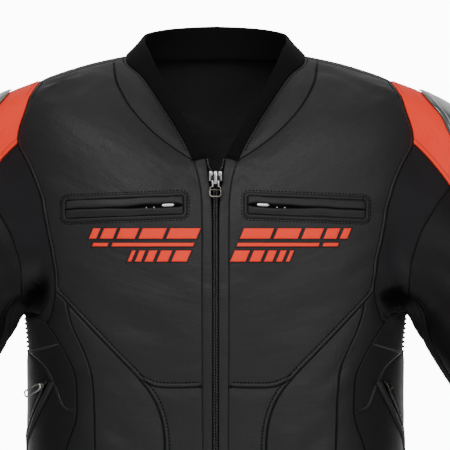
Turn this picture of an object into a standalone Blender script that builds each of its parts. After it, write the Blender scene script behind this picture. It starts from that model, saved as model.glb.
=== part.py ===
# A motorcycle jacket in its worn form, made of cut and sewn sheets.
# Metres. +Z is up, the front faces -Y, and +X is the wearer's left side.
# The origin lies inside the neck opening, at the height of the shoulder points.
import math
import bpy
import bmesh
import numpy as np
from mathutils.geometry import delaunay_2d_cdt
from mathutils import Vector

LEATHER = 0.0020
STRETCH = 0.0017
COLLAR_THICK = 0.0030
SEAM_GAP = 0.0003
LIFT = 0.0004
FRONT_SPACING = 0.022
BACK_SPACING = 0.031
SLEEVE_SPACING = 0.029
SEAM_SPACING = 0.020
PLATE_THICK = 0.0040
PLATE_LIFT = 0.0018
RIB_COUNT = 9
RIB_DEPTH = 0.0028
CHAIN_HALF = 0.0036
POCKET_IN = 0.0345
POCKET_OUT = 0.1632
POCKET_Z_IN = -0.1622
POCKET_Z_OUT = -0.1667
POCKET_HALF = 0.0101
POCKET_BORDER = 0.0040

# Horizontal shape of the body. Widths are half widths, and depths are measured from the side seam line.
# ring, side_x, side_z, front_y, front_z, back_y, back_z, squareness
TORSO_RINGS = [
    ("neck", 0.080, 0.0190, 0.058, -0.050, 0.060, 0.022, 2.0),
    ("collar foot", 0.101, 0.0090, 0.080, -0.078, 0.080, 0.012, 2.1),
    ("mid shoulder", 0.145, -0.0020, 0.101, -0.105, 0.102, -0.016, 2.2),
    ("shoulder tip", 0.195, -0.0185, 0.116, -0.135, 0.115, -0.050, 2.3),
    ("shoulder side", 0.227, -0.0330, 0.124, -0.160, 0.122, -0.085, 2.35),
    ("upper chest", 0.241, -0.0780, 0.130, -0.190, 0.127, -0.125, 2.4),
    ("chest", 0.240, -0.1450, 0.135, -0.230, 0.129, -0.175, 2.4),
    ("low chest", 0.229, -0.2180, 0.137, -0.270, 0.126, -0.230, 2.4),
    ("armpit", 0.217, -0.2850, 0.136, -0.315, 0.121, -0.290, 2.4),
    ("ribs", 0.213, -0.3450, 0.133, -0.360, 0.114, -0.350, 2.4),
    ("belly", 0.212, -0.4250, 0.130, -0.430, 0.108, -0.425, 2.4),
    ("waist", 0.208, -0.5000, 0.129, -0.500, 0.108, -0.500, 2.4),
    ("hip", 0.208, -0.5750, 0.131, -0.575, 0.113, -0.575, 2.4),
    ("hem", 0.210, -0.6450, 0.132, -0.645, 0.118, -0.645, 2.4),
]
HEM_Z = -0.645

# The armhole, from the shoulder point round the front and the armpit to the back.
# turn, torso angle, height, pull at the armhole, pull at the upper arm
ARMHOLE = [
    (0, 90.0, -0.0185, 0.42, 0.42),
    (12, 83.2, -0.0218, 0.40, 0.40),
    (20, 78.6, -0.0275, 0.37, 0.37),
    (30, 74.6, -0.0375, 0.34, 0.34),
    (45, 72.6, -0.0600, 0.27, 0.28),
    (58, 73.4, -0.0900, 0.20, 0.24),
    (72, 69.0, -0.1165, 0.14, 0.20),
    (86, 65.2, -0.1450, 0.11, 0.17),
    (98, 63.4, -0.1690, 0.09, 0.15),
    (112, 62.2, -0.1970, 0.075, 0.13),
    (126, 61.0, -0.2260, 0.065, 0.11),
    (136, 60.8, -0.2500, 0.060, 0.09),
    (146, 62.6, -0.2700, 0.055, 0.07),
    (153, 66.0, -0.2910, 0.050, 0.06),
    (160, 71.0, -0.2870, 0.045, 0.055),
    (170, 80.0, -0.2820, 0.042, 0.05),
    (180, 90.0, -0.2810, 0.042, 0.05),
    (192, 104.0, -0.2810, 0.045, 0.055),
    (205, 112.0, -0.2780, 0.055, 0.07),
    (222, 116.5, -0.2500, 0.065, 0.10),
    (242, 118.0, -0.2050, 0.09, 0.15),
    (262, 117.0, -0.1600, 0.12, 0.18),
    (285, 112.5, -0.1150, 0.18, 0.24),
    (308, 105.0, -0.0800, 0.28, 0.30),
    (335, 97.0, -0.0370, 0.36, 0.38),
    (360, 90.0, -0.0185, 0.42, 0.42),
]

# The sleeve tube from the upper arm to the cuff.
# station, x, y, z, half across, half front to back
ARM = [
    (1.0, 0.289, 0.000, -0.264, 0.073, 0.080),
    (1.5, 0.319, 0.000, -0.316, 0.071, 0.077),
    (2.0, 0.347, -0.008, -0.366, 0.067, 0.072),
    (2.7, 0.372, -0.037, -0.430, 0.062, 0.066),
    (3.4, 0.393, -0.066, -0.494, 0.056, 0.060),
    (4.2, 0.413, -0.096, -0.560, 0.050, 0.054),
]
CUFF = 4.2

# Seams on the body as torso angle and height. A row with the angle "hole" lies on the armhole at that turn.
TORSO_SEAMS = {
    "collar_front": [(12.6, -0.1127), (20.5, -0.0916), (33.5, -0.0637), (50.2, -0.0318), (60.0, -0.0154),
                     (80.0, 0.0064)],
    "collar_back": [(80.0, 0.0064), (90.0, 0.0090), (100.0, 0.0091), (130.0, 0.0102), (155.0, 0.0115),
                    (180.0, 0.0120)],
    "leaf": [(12.6, -0.1127), (24.7, -0.0973), (35.7, -0.0785), (47.0, -0.0539), (56.5, -0.0321),
             (68.2, -0.0106), (80.0, 0.0021)],
    "leaf_end": [(80.0, 0.0064), (80.0, 0.0021)],
    "shoulder": [(80.0, 0.0021), (80.0, -0.0051), (80.5, -0.0130), ("hole", 14)],
    "placket_top": [(6.3, -0.1093), (12.6, -0.1127)],
    "placket_in": [(6.3, -0.1093), (2.8, -0.1525), (1.9, -0.2110), (1.9, -0.4000), (1.9, HEM_Z)],
    "placket_up": [(12.6, -0.1127), (8.4, -0.1370), (6.8, -0.1610), (6.2, -0.2200), (6.1, -0.3587)],
    "placket_low": [(6.1, -0.3587), (6.0, -0.5000), (6.0, HEM_Z)],
    "chest_low_a": [(6.1, -0.3587), (17.3, -0.3598), (26.2, -0.3589), (31.7, -0.3531), (33.3, -0.3503)],
    "chest_low_b": [(33.3, -0.3503), (35.1, -0.3445), (40.7, -0.3268), (50.3, -0.2946), (57.6, -0.2683)],
    "chest_low_c": [(57.6, -0.2683), ("hole", 139)],
    "belly": [(33.3, -0.3503), (28.7, -0.3670), (25.6, -0.3840), (23.7, -0.4055), (23.3, -0.4270),
              (23.5, -0.5300), (23.5, HEM_Z)],
    "princess": [(57.6, -0.2683), (56.1, -0.2944), (52.7, -0.3210), (51.1, -0.3370), (50.1, -0.3500),
                 (49.9, -0.3786), (49.9, -0.4124), (49.3, -0.5200), (48.5, HEM_Z)],
    "third_a": [("hole", 154), (62.5, -0.3076), (61.4, -0.3135)],
    "third_b": [(61.4, -0.3135), (58.8, -0.3281), (56.3, -0.3486), (55.9, -0.3748), (55.9, -0.3850)],
    "third_c": [(55.9, -0.3850), (56.8, -0.4010), (60.3, -0.4300), (64.0, -0.5200), (65.0, HEM_Z)],
    "across": [(61.4, -0.3135), (69.8, -0.3207), (80.0, -0.3270)],
    "rib_foot": [(80.0, -0.3270), (94.0, -0.3300), (108.0, -0.3310)],
    "pocket_top": [(55.9, -0.3850), (60.7, -0.3835), (63.8, -0.3626), (68.8, -0.3393), (80.0, -0.3270)],
    "rib_front": [("hole", 172), (80.0, -0.3270)],
    "rib_back": [("hole", 192), (108.0, -0.3310)],
    "side_back": [(108.0, -0.3310), (110.0, -0.4500), (112.0, HEM_Z)],
    "back_side": [("hole", 242), (122.0, -0.3000), (128.0, -0.4200), (133.0, -0.5400), (138.0, HEM_Z)],
    "yoke": [("hole", 285), (135.0, -0.1280), (180.0, -0.1350)],
    "hem_placket": [(1.9, HEM_Z), (6.0, HEM_Z)],
    "hem_belly": [(6.0, HEM_Z), (23.5, HEM_Z)],
    "hem_side_front": [(23.5, HEM_Z), (48.5, HEM_Z)],
    "hem_lens": [(48.5, HEM_Z), (65.0, HEM_Z)],
    "hem_side": [(65.0, HEM_Z), (112.0, HEM_Z)],
    "hem_back_side": [(112.0, HEM_Z), (138.0, HEM_Z)],
    "hem_back": [(138.0, HEM_Z), (180.0, HEM_Z)],
}

# Arcs of the armhole between the seams that meet it, as turns.
HOLE_ARCS = {
    "hole_red_front": (14, 60),
    "hole_front": (60, 139),
    "hole_lens": (139, 154),
    "hole_side": (154, 172),
    "hole_ribs": (172, 192),
    "hole_back_side": (192, 242),
    "hole_back": (242, 285),
    "hole_yoke": (285, 300),
    "hole_red_back": (300, 374),
}

# Seams on the sleeve as turn round the arm and station along it.
SLEEVE_SEAMS = {
    "red_front_a": [(60, 0.0), (60.8, 0.15), (61, 0.28), (61, 0.37)],
    "red_front_b": [(61, 0.37), (52, 0.62), (28, 0.88), (0, 0.97)],
    "red_back_a": [(300, 0.0), (299, 0.18), (299, 0.37)],
    "red_back_b": [(299, 0.37), (308, 0.62), (332, 0.88), (360, 0.97)],
    "gusset_front": [(61, 0.37), (78, 0.39), (92, 0.39), (104, 0.40), (117, 0.43), (128, 0.49), (138, 0.60)],
    "gusset_under": [(138, 0.60), (152, 0.90), (180, 1.15), (208, 0.95), (232, 0.62)],
    "gusset_back": [(232, 0.62), (255, 0.46), (278, 0.40), (299, 0.37)],
    "under_front": [(138, 0.60), (142, 0.86), (158, 1.17), (163, 1.45), (160, 2.50), (158, CUFF)],
    "under_back": [(232, 0.62), (238, 1.20), (240, 2.50), (242, CUFF)],
    "cuff_outer": [(-118, CUFF), (-60, CUFF), (0, CUFF), (80, CUFF), (158, CUFF)],
    "cuff_under": [(158, CUFF), (200, CUFF), (242, CUFF)],
}

# Each panel runs along its seams in turn. "-" means the seam is followed backwards.
TORSO_PANELS = {
    "chest": ["-placket_up", "leaf", "shoulder", "hole_red_front", "hole_front", "-chest_low_c",
              "-chest_low_b", "-chest_low_a"],
    "neck_leaf": ["collar_front", "leaf_end", "-leaf"],
    "placket": ["placket_top", "placket_up", "placket_low", "-hem_placket", "-placket_in"],
    "belly": ["chest_low_a", "belly", "-hem_belly", "-placket_low"],
    "side_front": ["chest_low_b", "princess", "-hem_side_front", "-belly"],
    "flank_lens": ["chest_low_c", "hole_lens", "third_a", "third_b", "third_c", "-hem_lens", "-princess"],
    "side_upper": ["hole_side", "rib_front", "-across", "-third_a"],
    "side_middle": ["across", "-pocket_top", "-third_b"],
    "side_lower": ["pocket_top", "rib_foot", "side_back", "-hem_side", "-third_c"],
    "back_side": ["hole_back_side", "back_side", "-hem_back_side", "-side_back", "-rib_back"],
}
BACK_PANELS = {
    "yoke": (["collar_back"], ["yoke", "hole_yoke", "hole_red_back", "-shoulder", "-leaf_end"]),
    "back": (["yoke"], ["hem_back", "-back_side", "hole_back"]),
}
# name: thickness, material, seams with the turn shift in degrees
SLEEVE_PANELS = {
    "shoulder_red": (LEATHER, "red_leather",
                     [("hole_red_back", -360), ("hole_red_front", 0), ("red_front_a", 0), ("red_front_b", 0),
                      ("-red_back_b", -360), ("-red_back_a", -360)]),
    "gusset": (STRETCH, "stretch",
               [("hole_front", 0), ("hole_lens", 0), ("hole_side", 0), ("hole_ribs", 0),
                ("hole_back_side", 0), ("hole_back", 0), ("hole_yoke", 0), ("red_back_a", 0),
                ("-gusset_back", 0), ("-gusset_under", 0), ("-gusset_front", 0), ("-red_front_a", 0)]),
    "sleeve_outer": (LEATHER, "black_leather",
                     [("gusset_front", 0), ("under_front", 0), ("-cuff_outer", 0), ("-under_back", -360),
                      ("gusset_back", -360), ("red_back_b", -360), ("-red_front_b", 0)]),
    "sleeve_under": (STRETCH, "stretch",
                     [("gusset_under", 0), ("under_back", 0), ("-cuff_under", 0), ("-under_front", 0)]),
}
# Half outline of the hard shoulder plate: turn, station
PLATE_EDGE = [(0, 0.095), (11, 0.101), (20, 0.116), (28, 0.143), (34, 0.187), (40, 0.245), (43, 0.36),
              (41, 0.48), (32, 0.62), (17, 0.71), (0, 0.74)]

# The inner, upper edge of the collar: torso angle of the seam below it, x, y, z
COLLAR_TOP = [
    (12.6, 0.0115, -0.1041, -0.1093),
    (20.5, 0.0236, -0.0940, -0.0871),
    (33.5, 0.0391, -0.0800, -0.0602),
    (50.2, 0.0588, -0.0600, -0.0249),
    (60.0, 0.0692, -0.0450, -0.0017),
    (72.0, 0.0765, -0.0270, 0.0180),
    (84.0, 0.0822, -0.0060, 0.0304),
    (100.0, 0.0830, 0.0200, 0.0370),
    (130.0, 0.0640, 0.0540, 0.0430),
    (158.0, 0.0300, 0.0730, 0.0460),
    (180.0, 0.0000, 0.0790, 0.0465),
]

# The largest folds of the cloth as worn.
# place, start x, y, z, end x, y, z, half width, height
FOLDS = [
    ("front armpit", 0.188, -0.088, -0.268, 0.222, -0.055, -0.262, 0.010, -0.006),
    ("armpit rise", 0.197, -0.085, -0.235, 0.232, -0.066, -0.238, 0.010, 0.003),
    ("shoulder ridge", 0.125, -0.058, -0.020, 0.190, -0.052, -0.040, 0.012, 0.0025),
    ("elbow front", 0.330, -0.078, -0.330, 0.372, -0.060, -0.345, 0.012, -0.006),
    ("elbow inner", 0.300, -0.055, -0.365, 0.345, -0.085, -0.385, 0.012, -0.005),
    ("back armpit", 0.188, 0.085, -0.262, 0.225, 0.060, -0.258, 0.012, -0.006),
    ("back blade", 0.120, 0.130, -0.150, 0.165, 0.112, -0.240, 0.020, 0.004),
    ("back waist", 0.060, 0.110, -0.470, 0.150, 0.095, -0.450, 0.016, -0.004),
]

# Seams whose number of steps is fixed, so that the ribs line up with their neighbours.
FIXED_STEPS = {"hole_ribs": 5, "rib_foot": 5}

# Front slider and its puller, as half outlines: across, up from the centre
SLIDER_Z = -0.1340
SLIDER_EDGE = [(0.0028, 0.0076), (0.0060, 0.0058), (0.0073, 0.0012), (0.0060, -0.0040), (0.0044, -0.0076)]
SLIDER_THICK = 0.0032
BRIDGE_HALF = 0.0024
BRIDGE_HIGH = 0.0040
PULLER_PIN = -0.0010
PULLER_THICK = 0.0015
# across at the outer edge, down from the pin, across at the inner edge, down from the pin
PULLER_EDGE = [(0.0042, -0.00075, 0.0029, 0.00075), (0.0042, 0.0090, 0.0029, 0.0095),
               (0.0066, 0.0112, 0.0051, 0.0120), (0.0066, 0.0195, 0.0051, 0.0192),
               (0.0046, 0.0223, 0.0038, 0.0208)]
SIDE_PULL_LONG = 0.0290
SIDE_PULL_WIDE = 0.0085
SIDE_PULL_BAR = 0.0016
# Line of the side pocket zip: torso angle, height
SIDE_ZIP = [(67.3, -0.3560), (72.5, -0.3800), (79.5, -0.4080), (88.0, -0.4350), (96.0, -0.4720),
            (99.0, -0.4950)]

# base colour, roughness, metallic
MATERIALS = {
    "black_leather": ((0.030, 0.030, 0.032), 0.55, 0.0),
    "red_leather": ((0.860, 0.110, 0.060), 0.50, 0.0),
    "stretch": ((0.012, 0.011, 0.014), 0.85, 0.0),
    "collar_knit": ((0.014, 0.014, 0.016), 0.80, 0.0),
    "plate_gloss": ((0.080, 0.095, 0.090), 0.22, 0.0),
    "bright_metal": ((0.620, 0.620, 0.630), 0.25, 1.0),
    "dark_metal": ((0.090, 0.090, 0.095), 0.35, 1.0),
    "zip_tape": ((0.015, 0.015, 0.017), 0.60, 0.0),
}


class Curve:
    """A smooth line through the values of one named column. It never overshoots them."""

    def __init__(self, x, y):
        self.x = np.array(x, float)
        self.y = np.array(y, float)
        h = np.diff(self.x)
        d = np.diff(self.y) / h
        m = np.zeros(len(self.x))
        for i in range(1, len(self.x) - 1):
            if d[i - 1] * d[i] > 0:
                w1 = 2 * h[i] + h[i - 1]
                w2 = h[i] + 2 * h[i - 1]
                m[i] = (w1 + w2) / (w1 / d[i - 1] + w2 / d[i])
        m[0] = d[0]
        m[-1] = d[-1]
        self.m = m

    def __call__(self, q):
        q = np.asarray(q, float)
        i = np.clip(np.searchsorted(self.x, q) - 1, 0, len(self.x) - 2)
        h = self.x[i + 1] - self.x[i]
        s = (q - self.x[i]) / h
        rise = (2 * s**3 - 3 * s**2 + 1) * self.y[i] + (3 * s**2 - 2 * s**3) * self.y[i + 1]
        return rise + h * ((s**3 - 2 * s**2 + s) * self.m[i] + (s**3 - s**2) * self.m[i + 1])


def columns(rows, first, last):
    keys = [row[first - 1] for row in rows]
    return [Curve(keys, [row[k] for row in rows]) for k in range(first, last)]


def unit(v):
    return v / np.maximum(np.linalg.norm(v, axis=-1, keepdims=True), 1e-12)


def closed_blur(values, rounds):
    v = values[:-1]
    for _ in range(rounds):
        v = 0.25 * np.roll(v, 1, 0) + 0.5 * v + 0.25 * np.roll(v, -1, 0)
    return np.concatenate([v, v[:1]], 0)


LAST = len(TORSO_RINGS) - 1
STATIONS = np.arange(LAST + 1, dtype=float)
SIDE_X, SIDE_Z, FRONT_Y, FRONT_Z, BACK_Y, BACK_Z, SQUARE = [
    Curve(STATIONS, [row[k] for row in TORSO_RINGS]) for k in range(1, 8)]


def torso(phi, t):
    """A point of the body at the angle phi from the front centre and the ring t."""
    phi, t = np.broadcast_arrays(np.asarray(phi, float), np.asarray(t, float))
    s = np.sin(phi)
    c = np.cos(phi)
    depth = np.where(c >= 0, FRONT_Y(t), BACK_Y(t))
    p = SQUARE(t)
    r = (np.abs(s / SIDE_X(t)) ** p + np.abs(c / depth) ** p) ** (-1 / p)
    w = c * c
    z = SIDE_Z(t) * (1 - w) + np.where(c >= 0, FRONT_Z(t), BACK_Z(t)) * w
    return np.stack([r * s, -r * c, z], -1)


def ring_at(phi, z):
    phi, z = np.broadcast_arrays(np.asarray(phi, float), np.asarray(z, float))
    low = np.zeros(phi.shape)
    high = np.full(phi.shape, float(LAST))
    for _ in range(45):
        mid = (low + high) / 2
        above = torso(phi, mid)[..., 2] > z
        low = np.where(above, mid, low)
        high = np.where(above, high, mid)
    return (low + high) / 2


def torso_normal(phi, t):
    h = 1e-4
    du = torso(phi + h, t) - torso(phi - h, t)
    dt = torso(phi, np.minimum(t + h, LAST)) - torso(phi, np.maximum(t - h, 0))
    return -unit(np.cross(du, dt))


ARM_X, ARM_Y, ARM_Z, ARM_ACROSS, ARM_DEEP = columns(ARM, 1, 6)
HOLE_ANGLE, HOLE_Z, HOLE_PULL, ARM_PULL = columns(ARMHOLE, 1, 5)


def tube(turn, s):
    centre = np.stack([ARM_X(s), ARM_Y(s), ARM_Z(s)], -1)
    ahead = np.stack([ARM_X(s + 0.02), ARM_Y(s + 0.02), ARM_Z(s + 0.02)], -1)
    behind = np.stack([ARM_X(s - 0.02), ARM_Y(s - 0.02), ARM_Z(s - 0.02)], -1)
    axis = unit(ahead - behind)
    out = np.array([0.866, 0.0, 0.5])
    across = unit(out - axis * (axis @ out)[..., None])
    front = np.cross(across, axis)
    front = np.where(front[..., 1:2] > 0, -front, front)
    wide = across * (ARM_ACROSS(s) * np.cos(turn))[..., None]
    deep = front * (ARM_DEEP(s) * np.sin(turn))[..., None]
    return centre + wide + deep, axis


TURNS = np.linspace(0, 360, 721)
HOLE_PHI = closed_blur(np.radians(HOLE_ANGLE(TURNS)), 24)
HOLE_T = ring_at(HOLE_PHI, closed_blur(HOLE_Z(TURNS), 24))
HOLE_P = torso(HOLE_PHI, HOLE_T)
HOLE_N = torso_normal(HOLE_PHI, HOLE_T)
HOLE_ALONG = HOLE_P[(np.arange(721) + 1) % 720] - HOLE_P[(np.arange(721) - 1) % 720]
HOLE_IN = unit(np.cross(HOLE_N, unit(closed_blur(HOLE_ALONG, 10))))
TOP_SHARE = np.exp(-((np.minimum(TURNS, 360 - TURNS) / 55.0) ** 2))[:, None]
CHORD = unit(tube(np.radians(TURNS), np.ones(721))[0] - HOLE_P)
LEAD = unit((1 - TOP_SHARE) * (HOLE_IN + 0.7 * CHORD) + TOP_SHARE * np.array([1.4, 0.0, -0.50]))
LEAD = unit(closed_blur(LEAD, 10)) * closed_blur(HOLE_PULL(TURNS), 20)[:, None]
ARM_LEAD = closed_blur(ARM_PULL(TURNS), 20)


def pick(table, turn):
    place = np.mod(np.degrees(turn), 360.0) * 2
    i = np.floor(place).astype(int) % 720
    f = place - np.floor(place)
    if table.ndim > 1:
        f = f[..., None]
    return table[i] * (1 - f) + table[i + 1] * f


def sleeve(turn, s):
    """A point of the sleeve. Station 0 is the armhole, and 1 the upper arm."""
    turn, s = np.broadcast_arrays(np.asarray(turn, float), np.asarray(s, float))
    ring, axis = tube(turn, np.maximum(s, 1.0))
    u = np.clip(s, 0, 1)[..., None]
    start = pick(HOLE_P, turn)
    lead_in = pick(LEAD, turn)
    lead_out = axis * pick(ARM_LEAD, turn)[..., None]
    cap = (2 * u**3 - 3 * u**2 + 1) * start + (3 * u**2 - 2 * u**3) * ring
    cap = cap + (u**3 - 2 * u**2 + u) * lead_in + (u**3 - u**2) * lead_out
    return np.where(s[..., None] < 1.0, cap, ring)


def sleeve_normal(turn, s):
    du = sleeve(turn + 0.02, s) - sleeve(turn - 0.02, s)
    ds = sleeve(turn, s + 1e-3) - sleeve(turn, np.maximum(s - 1e-3, 0))
    return unit(np.cross(du, ds))


MEAN_RISE = np.mean([np.linalg.norm(np.diff(torso(a, STATIONS), axis=0), axis=1)
                     for a in np.radians([5, 60, 90, 120, 175])], axis=0)
DROP = Curve(STATIONS, np.concatenate([[0], np.cumsum(MEAN_RISE)]))
DROP_TABLE = DROP(np.linspace(0, LAST, 2001))


class Torso:
    """The flat pattern of the body, and the way back from it."""

    point = staticmethod(torso)
    normal = staticmethod(torso_normal)

    @staticmethod
    def flat(a, b):
        return np.stack([a * 0.17, -DROP(b)], -1)

    @staticmethod
    def back(flat):
        return flat[..., 0] / 0.17, np.interp(-flat[..., 1], DROP_TABLE, np.linspace(0, LAST, 2001))


class Sleeve:
    point = staticmethod(sleeve)
    normal = staticmethod(sleeve_normal)

    @staticmethod
    def flat(a, b):
        return np.stack([-a * 0.078, -b * 0.17], -1)

    @staticmethod
    def back(flat):
        return -flat[..., 0] / 0.078, -flat[..., 1] / 0.17


def folded(p, n):
    """Moves points along their normals by the worn folds. Both sides have the same folds."""
    rise = np.zeros(p.shape[:-1])
    q = p * np.array([1.0, 1.0, 1.0])
    q[..., 0] = np.abs(q[..., 0])
    for row in FOLDS:
        a = np.array(row[1:4])
        b = np.array(row[4:7])
        along = np.clip(((q - a) @ (b - a)) / ((b - a) @ (b - a)), 0, 1)
        away = np.linalg.norm(q - a - along[..., None] * (b - a), axis=-1)
        ends = 0.35 + 0.65 * np.sin(math.pi * (0.12 + 0.76 * along))
        rise = rise + row[8] * ends * np.exp(-((away / row[7]) ** 2))
    return p + n * rise[..., None]


def through(rows, count):
    """A smooth line through rows, cut into count equal steps."""
    pts = np.array(rows, float)
    scale = np.array([0.0032, 1.0])
    step = np.linalg.norm(np.diff(pts, axis=0) * scale, axis=1)
    q = np.concatenate([[0], np.cumsum(np.maximum(step, 1e-5))])
    if len(pts) == 2:
        w = np.linspace(0, 1, count + 1)[:, None]
        return pts[0] * (1 - w) + pts[1] * w
    m = np.zeros(pts.shape)
    m[1:-1] = (pts[2:] - pts[:-2]) / (q[2:] - q[:-2])[:, None]
    m[0] = 2 * (pts[1] - pts[0]) / q[1] - m[1]
    m[-1] = 2 * (pts[-1] - pts[-2]) / (q[-1] - q[-2]) - m[-2]
    w = np.linspace(0, q[-1], count + 1)
    i = np.clip(np.searchsorted(q, w) - 1, 0, len(q) - 2)
    h = (q[i + 1] - q[i])[:, None]
    s = (w[:, None] - q[i][:, None]) / h
    line = (2 * s**3 - 3 * s**2 + 1) * pts[i] + (3 * s**2 - 2 * s**3) * pts[i + 1]
    line = line + h * ((s**3 - 2 * s**2 + s) * m[i] + (s**3 - s**2) * m[i + 1])
    line[0] = pts[0]
    line[-1] = pts[-1]
    return line


class Seam:
    """Shared sample points of a seam. Both neighbours are cut along the same points."""

    def __init__(self, p, n, torso_ab=None, sleeve_ab=None):
        self.p = p
        self.n = n
        self.torso_ab = torso_ab
        self.sleeve_ab = sleeve_ab

    def turned(self):
        return Seam(self.p[::-1], self.n[::-1],
                    None if self.torso_ab is None else self.torso_ab[::-1],
                    None if self.sleeve_ab is None else self.sleeve_ab[::-1])

    def mirrored(self):
        flip = np.array([-1.0, 1.0, 1.0])
        ab = self.torso_ab * np.array([-1.0, 1.0]) + np.array([2 * math.pi, 0.0])
        return Seam(self.p * flip, self.n * flip, ab)


def steps_for(p, spacing):
    return max(1, int(round(np.linalg.norm(np.diff(p, axis=0), axis=1).sum() / spacing)))


def torso_seam(rows, fixed=None):
    """Rows of angle in degrees and height, or a turn of the armhole, become a seam."""
    place = []
    for a, b in rows:
        if a == "hole":
            phi = float(pick(HOLE_PHI, np.radians(float(b))))
            place.append((math.degrees(phi), float(pick(HOLE_P, np.radians(float(b)))[2])))
        else:
            place.append((a, b))
    line = through(place, 60)
    phi = np.radians(line[:, 0])
    count = fixed or steps_for(torso(phi, ring_at(phi, line[:, 1])), SEAM_SPACING)
    line = through(place, count)
    phi = np.radians(line[:, 0])
    t = ring_at(phi, line[:, 1])
    for end, row in ((0, rows[0]), (-1, rows[-1])):
        if row[0] == "hole":
            t[end] = pick(HOLE_T, np.radians(float(row[1])))
            phi[end] = pick(HOLE_PHI, np.radians(float(row[1])))
    n = torso_normal(phi, t)
    p = torso(phi, t)
    for end, row in ((0, rows[0]), (-1, rows[-1])):
        if row[0] == "hole":
            p[end], n[end] = hole_point(np.radians(float(row[1])))
    return Seam(folded(p, n), n, np.stack([phi, t], -1))


def hole_point(turn):
    turn = np.asarray(turn, float)
    n = unit(pick(HOLE_N, turn) + sleeve_normal(turn, np.zeros(turn.shape)))
    return pick(HOLE_P, turn), n


def hole_seam(start, stop, fixed=None):
    dense = np.radians(np.linspace(start, stop, 60))
    count = fixed or steps_for(pick(HOLE_P, dense), SEAM_SPACING)
    turn = np.radians(np.linspace(start, stop, count + 1))
    p, n = hole_point(turn)
    ab = np.stack([pick(HOLE_PHI, turn), pick(HOLE_T, turn)], -1)
    return Seam(folded(p, n), n, ab, np.stack([turn, np.zeros(len(turn))], -1))


def sleeve_seam(rows):
    line = through([(a, b * 0.17) for a, b in rows], 60)
    count = steps_for(sleeve(np.radians(line[:, 0]), line[:, 1] / 0.17), SEAM_SPACING)
    line = through([(a, b * 0.17) for a, b in rows], count)
    turn = np.radians(line[:, 0])
    s = np.maximum(line[:, 1] / 0.17, 0.0)
    n = sleeve_normal(turn, s)
    p = sleeve(turn, s)
    for end in (0, -1):
        if s[end] == 0.0:
            p[end], n[end] = hole_point(turn[end])
    return Seam(folded(p, n), n, None, np.stack([turn, s], -1))


def inside(points, loop):
    """Which flat points lie inside a closed loop."""
    x = points[:, 0][:, None]
    y = points[:, 1][:, None]
    x0, y0 = loop[:, 0], loop[:, 1]
    x1, y1 = np.roll(x0, -1), np.roll(y0, -1)
    crosses = (y0 > y) != (y1 > y)
    dy = np.where(np.abs(y1 - y0) < 1e-15, 1e-15, y1 - y0)
    hit = x < (x1 - x0) * (y - y0) / dy + x0
    return (crosses & hit).sum(1) % 2 == 1


def edge_distance(points, loop):
    a = loop
    d = np.roll(loop, -1, axis=0) - loop
    length = np.maximum((d * d).sum(1), 1e-18)
    best = np.full(len(points), 1e9)
    for i in range(len(a)):
        s = np.clip(((points - a[i]) @ d[i]) / length[i], 0, 1)
        best = np.minimum(best, np.linalg.norm(points - a[i] - s[:, None] * d[i], axis=1))
    return best


def cut_flat(loop, spacing, clearance=0.60):
    """Triangles of a flat pattern. The loop's points come first and stay as they are."""
    low = loop.min(0)
    high = loop.max(0)
    rows = int((high[1] - low[1]) / (spacing * 0.866)) + 2
    cols = int((high[0] - low[0]) / spacing) + 2
    grid = []
    for j in range(rows):
        shift = 0.81 * spacing if j % 2 else 0.31 * spacing
        for i in range(cols):
            grid.append((low[0] + shift + i * spacing, low[1] + (0.37 + j * 0.866) * spacing))
    grid = np.array(grid)
    grid = grid[inside(grid, loop)]
    if len(grid):
        grid = grid[edge_distance(grid, loop) > clearance * spacing]
    every = np.concatenate([loop, grid]) if len(grid) else loop
    verts = [Vector((float(p[0]), float(p[1]))) for p in every]
    ring = list(range(len(loop)))
    made = delaunay_2d_cdt(verts, [], [ring], 1, 1e-7)
    origin = [o[0] if o else -1 for o in made[3]]
    faces = []
    for f in made[2]:
        ids = [origin[i] for i in f]
        a, b, c = (every[i] for i in ids)
        turn = (b[0] - a[0]) * (c[1] - a[1]) - (b[1] - a[1]) * (c[0] - a[0])
        faces.append(ids if turn > 0 else ids[::-1])
    return every, faces


def pulled_in(p, n, amount):
    """Moves a closed outline inwards on its surface, by half the gap of a seam."""
    before = unit(p - np.roll(p, 1, axis=0))
    after = unit(np.roll(p, -1, axis=0) - p)
    n0 = unit(np.cross(n, before))
    n1 = unit(np.cross(n, after))
    bend = np.maximum(1 + (n0 * n1).sum(1), 0.08)[:, None]
    return p + (n0 + n1) / bend * amount


made_materials = {}


def material(name):
    if name not in made_materials:
        colour, rough, metal = MATERIALS[name]
        mat = bpy.data.materials.new(name)
        mat.use_nodes = True
        shader = mat.node_tree.nodes["Principled BSDF"]
        shader.inputs["Base Color"].default_value = (*colour, 1.0)
        shader.inputs["Roughness"].default_value = rough
        shader.inputs["Metallic"].default_value = metal
        made_materials[name] = mat
    return made_materials[name]


def add_object(name, verts, faces, mat, origin=(0.0, 0.0, 0.0)):
    mesh = bpy.data.meshes.new(name)
    shift = np.array(origin)
    mesh.from_pydata([tuple(float(c) for c in v) for v in np.asarray(verts) - shift], [], faces)
    mesh.validate()
    mesh.materials.append(material(mat))
    mesh.shade_smooth()
    obj = bpy.data.objects.new(name, mesh)
    obj.location = origin
    bpy.context.scene.collection.objects.link(obj)
    return obj


WALL_KEY = np.array([0.0, 0.37, 1.0])


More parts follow.
